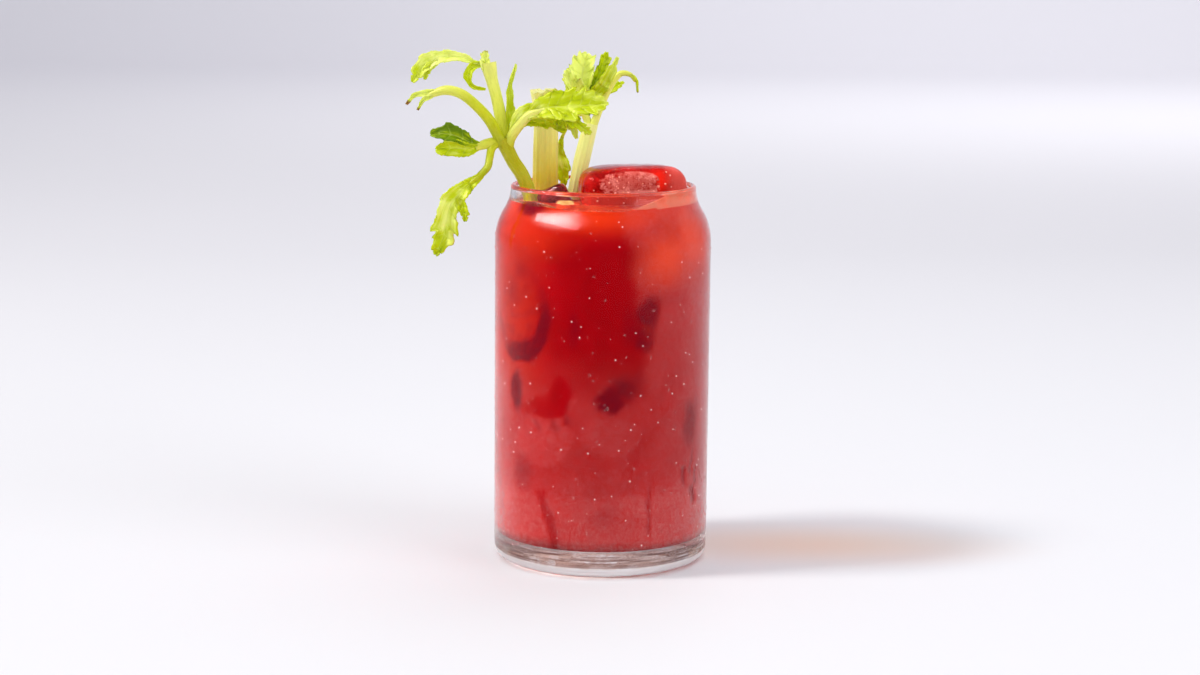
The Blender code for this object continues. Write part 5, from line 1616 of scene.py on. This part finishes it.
dropLook = {
    "count": 700, "size": 0.21, "uneven": 0.55, "flat": (1.0, 1.0, 0.45), "seed": 7, "foot": 8.0,
    "top": 124.0, "even": 0.5, "right": 2.2, "rightTurn": (40, 60), "rightFades": (75, 95),
    "rightTop": (38, 50), "patch": 1.2, "patchTurn": -33, "patchHeight": 53, "patchTall": 1.5,
    "patchFades": (6, 14),
    "runs": [  # azimuth, height, half width, half height
        (51.0, 37.0, 0.34, 0.9), (57.0, 40.5, 0.30, 0.6), (61.0, 36.0, 0.36, 0.8), (58.4, 27.5, 0.55, 1.6),
        (66.0, 33.0, 0.34, 0.9), (54.0, 44.0, 0.26, 0.4), (70.0, 30.0, 0.4, 0.8), (48.0, 31.0, 0.24, 0.35),
        (26.5, 24.0, 0.4, 0.9), (28.0, 15.0, 0.36, 0.5), (131.0, 42.0, 0.5, 1.3), (-124.0, 36.0, 0.5, 1.2),
        (163.0, 58.0, 0.45, 1.0), (-158.0, 30.0, 0.5, 1.1),
    ],
    "runRings": 12, "runSides": 14, "runLift": 0.45, "runTaper": 0.62, "runFullness": 0.8,
}
# pale specks on the outside of the glass: painted glints of tiny drops
speckLook = {
    "count": 520, "size": 0.12, "uneven": 0.5, "flat": (1.0, 1.0, 0.5), "seed": 11, "foot": 8.0,
    "top": 126.0,
    "inset": -0.07, "dull": (0.80, 0.52, 0.48), "white": (0.97, 0.90, 0.88),
}
bubbleLook = {
    "count": 150, "size": 0.26, "uneven": 0.5, "flat": (1.0, 1.0, 0.8), "seed": 3,
    "colour": (1.0, 0.80, 0.62),
    "steps": 120, "width": 2.2, "fromWall": 0.6, "lift": 0.35, "frontHalf": 40, "behind": 0.4,
}


def waterMaterial(name, colour):
    material, tree, shader = newMaterial(name)
    plainInputs(shader, colour=colour, transmission=1.0, ior=1.33)
    ripple = useGroup(tree, mottle, Scale=500.0, Grain=0.3)
    tree.links.new(between(tree, ripple.outputs["Mask"], 0.0, 1.0, 0.0, 0.06), shader.inputs["Roughness"])
    lampsThrough(tree, shader, 0.9)
    return material


def runningDrop(azimuth, height, half, tall):  # a drop that has begun to run: round below, drawn out above
    look = dropLook
    turn = math.radians(azimuth)
    radius = float(wallRadius(height))
    out = np.array([math.sin(turn), -math.cos(turn), 0.0])
    side = np.array([math.cos(turn), math.sin(turn), 0.0])
    verts, faces = [], []
    rings, sides = look["runRings"], look["runSides"]
    for i in range(rings + 1):
        share = i / rings
        wide = half * math.sin(math.pi * share ** look["runTaper"]) ** look["runFullness"]
        level = np.array([0, 0, height + tall * (2 * share - 1)])
        for j in range(sides):
            a = math.tau * j / sides
            lift = radius + look["runLift"] * wide * math.cos(a)
            verts.append(out * lift + side * wide * math.sin(a) + level)
    for i in range(rings):
        for j in range(sides):
            k = (j + 1) % sides
            faces.append((i * sides + j, i * sides + k, (i + 1) * sides + k, (i + 1) * sides + j))
    drop = makeObject("drop", verts, faces)
    bm = bmesh.new()
    bm.from_mesh(drop.data)
    bmesh.ops.remove_doubles(bm, verts=bm.verts, dist=1e-6)
    bmesh.ops.holes_fill(bm, edges=[edge for edge in bm.edges if edge.is_boundary])
    bmesh.ops.recalc_face_normals(bm, faces=bm.faces)
    bm.to_mesh(drop.data)
    bm.free()
    drop.data.shade_smooth()
    return drop


def strewnBy(name, carrier, look, area, material):
    return strewn(name, carrier, look["count"] / area, look["size"], look["uneven"], look["flat"],
                  look["seed"], material)


def makeDrops():
    look = dropLook
    water = waterMaterial("waterDrop", (1.0, 1.0, 1.0))
    carrier = sheetAround("dropCarrier", look["foot"], look["top"], 0.0, 96, 3.0)
    points = places(carrier)
    azimuth, height = azimuthOf(points), points[:, 2]
    right = smooth(*look["rightTurn"], azimuth) * (1 - smooth(*look["rightFades"], azimuth))
    amount = look["even"] + look["right"] * right * (1 - smooth(*look["rightTop"], height))
    aside = (azimuth - look["patchTurn"]) * sideLook["mmPerDegree"]
    away = np.hypot(aside, (height - look["patchHeight"]) * look["patchTall"])
    amount += look["patch"] * (1 - smooth(*look["patchFades"], away))
    setFloat(carrier, "amount", amount)
    area = math.tau * 38 * (look["top"] - look["foot"]) * mm * mm * 0.6
    drops = strewnBy("waterDrops", carrier, look, area, water)
    runs = [runningDrop(*drop) for drop in look["runs"]]
    for drop in runs:
        drop.data.materials.append(water)
    whole = joined("waterDrops", [drops] + runs)
    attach(whole, "root")
    print("drops ready:", len(whole.data.polygons), "faces")


# painted glints: pale specks strewn on the outside of the glass
def makeSpecks():
    look = speckLook
    bright = speckledMaterial("whiteSpeck", look["dull"], look["white"], 0.5, 900.0, 0.4, 0.3, 0.7)
    carrier = sheetAround("speckCarrier", look["foot"], look["top"], look["inset"], 96, 3.0)
    setFloat(carrier, "amount", np.ones(len(carrier.data.vertices)))
    area = math.tau * 38 * (look["top"] - look["foot"]) * mm * mm
    specks = strewnBy("paintedGlintSpecks", carrier, look, area, bright)
    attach(specks, "root")
    print("specks ready")


def makeBubbles():
    look = bubbleLook
    foam = waterMaterial("drinkBubble", look["colour"])
    verts, faces, amounts = [], [], []
    steps, level = look["steps"], drinkShape["level"]
    edge = float(wallRadius(level + 0.5, glassShape["wall"] + 0.4)) - look["fromWall"]
    for i in range(steps):
        angle = i * 360.0 / steps - 180.0
        turn = math.radians(angle)
        for radius in (edge, edge - look["width"]):
            verts.append((radius * math.sin(turn), -radius * math.cos(turn), level + look["lift"]))
            amounts.append(1.0 if abs(angle) < look["frontHalf"] else look["behind"])
    for i in range(steps):
        k = (i + 1) % steps
        faces.append((2 * i, 2 * k, 2 * k + 1, 2 * i + 1))
    ring = makeObject("bubbleCarrier", verts, faces)
    setFloat(ring, "amount", amounts)
    area = math.tau * 30 * look["width"] * mm * mm * 0.6
    bubbles = strewnBy("drinkBubbles", ring, look, area, foam)
    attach(bubbles, "root")
    print("bubbles ready:", len(bubbles.data.polygons), "faces")


makeDrops()
makeSpecks()
makeBubbles()
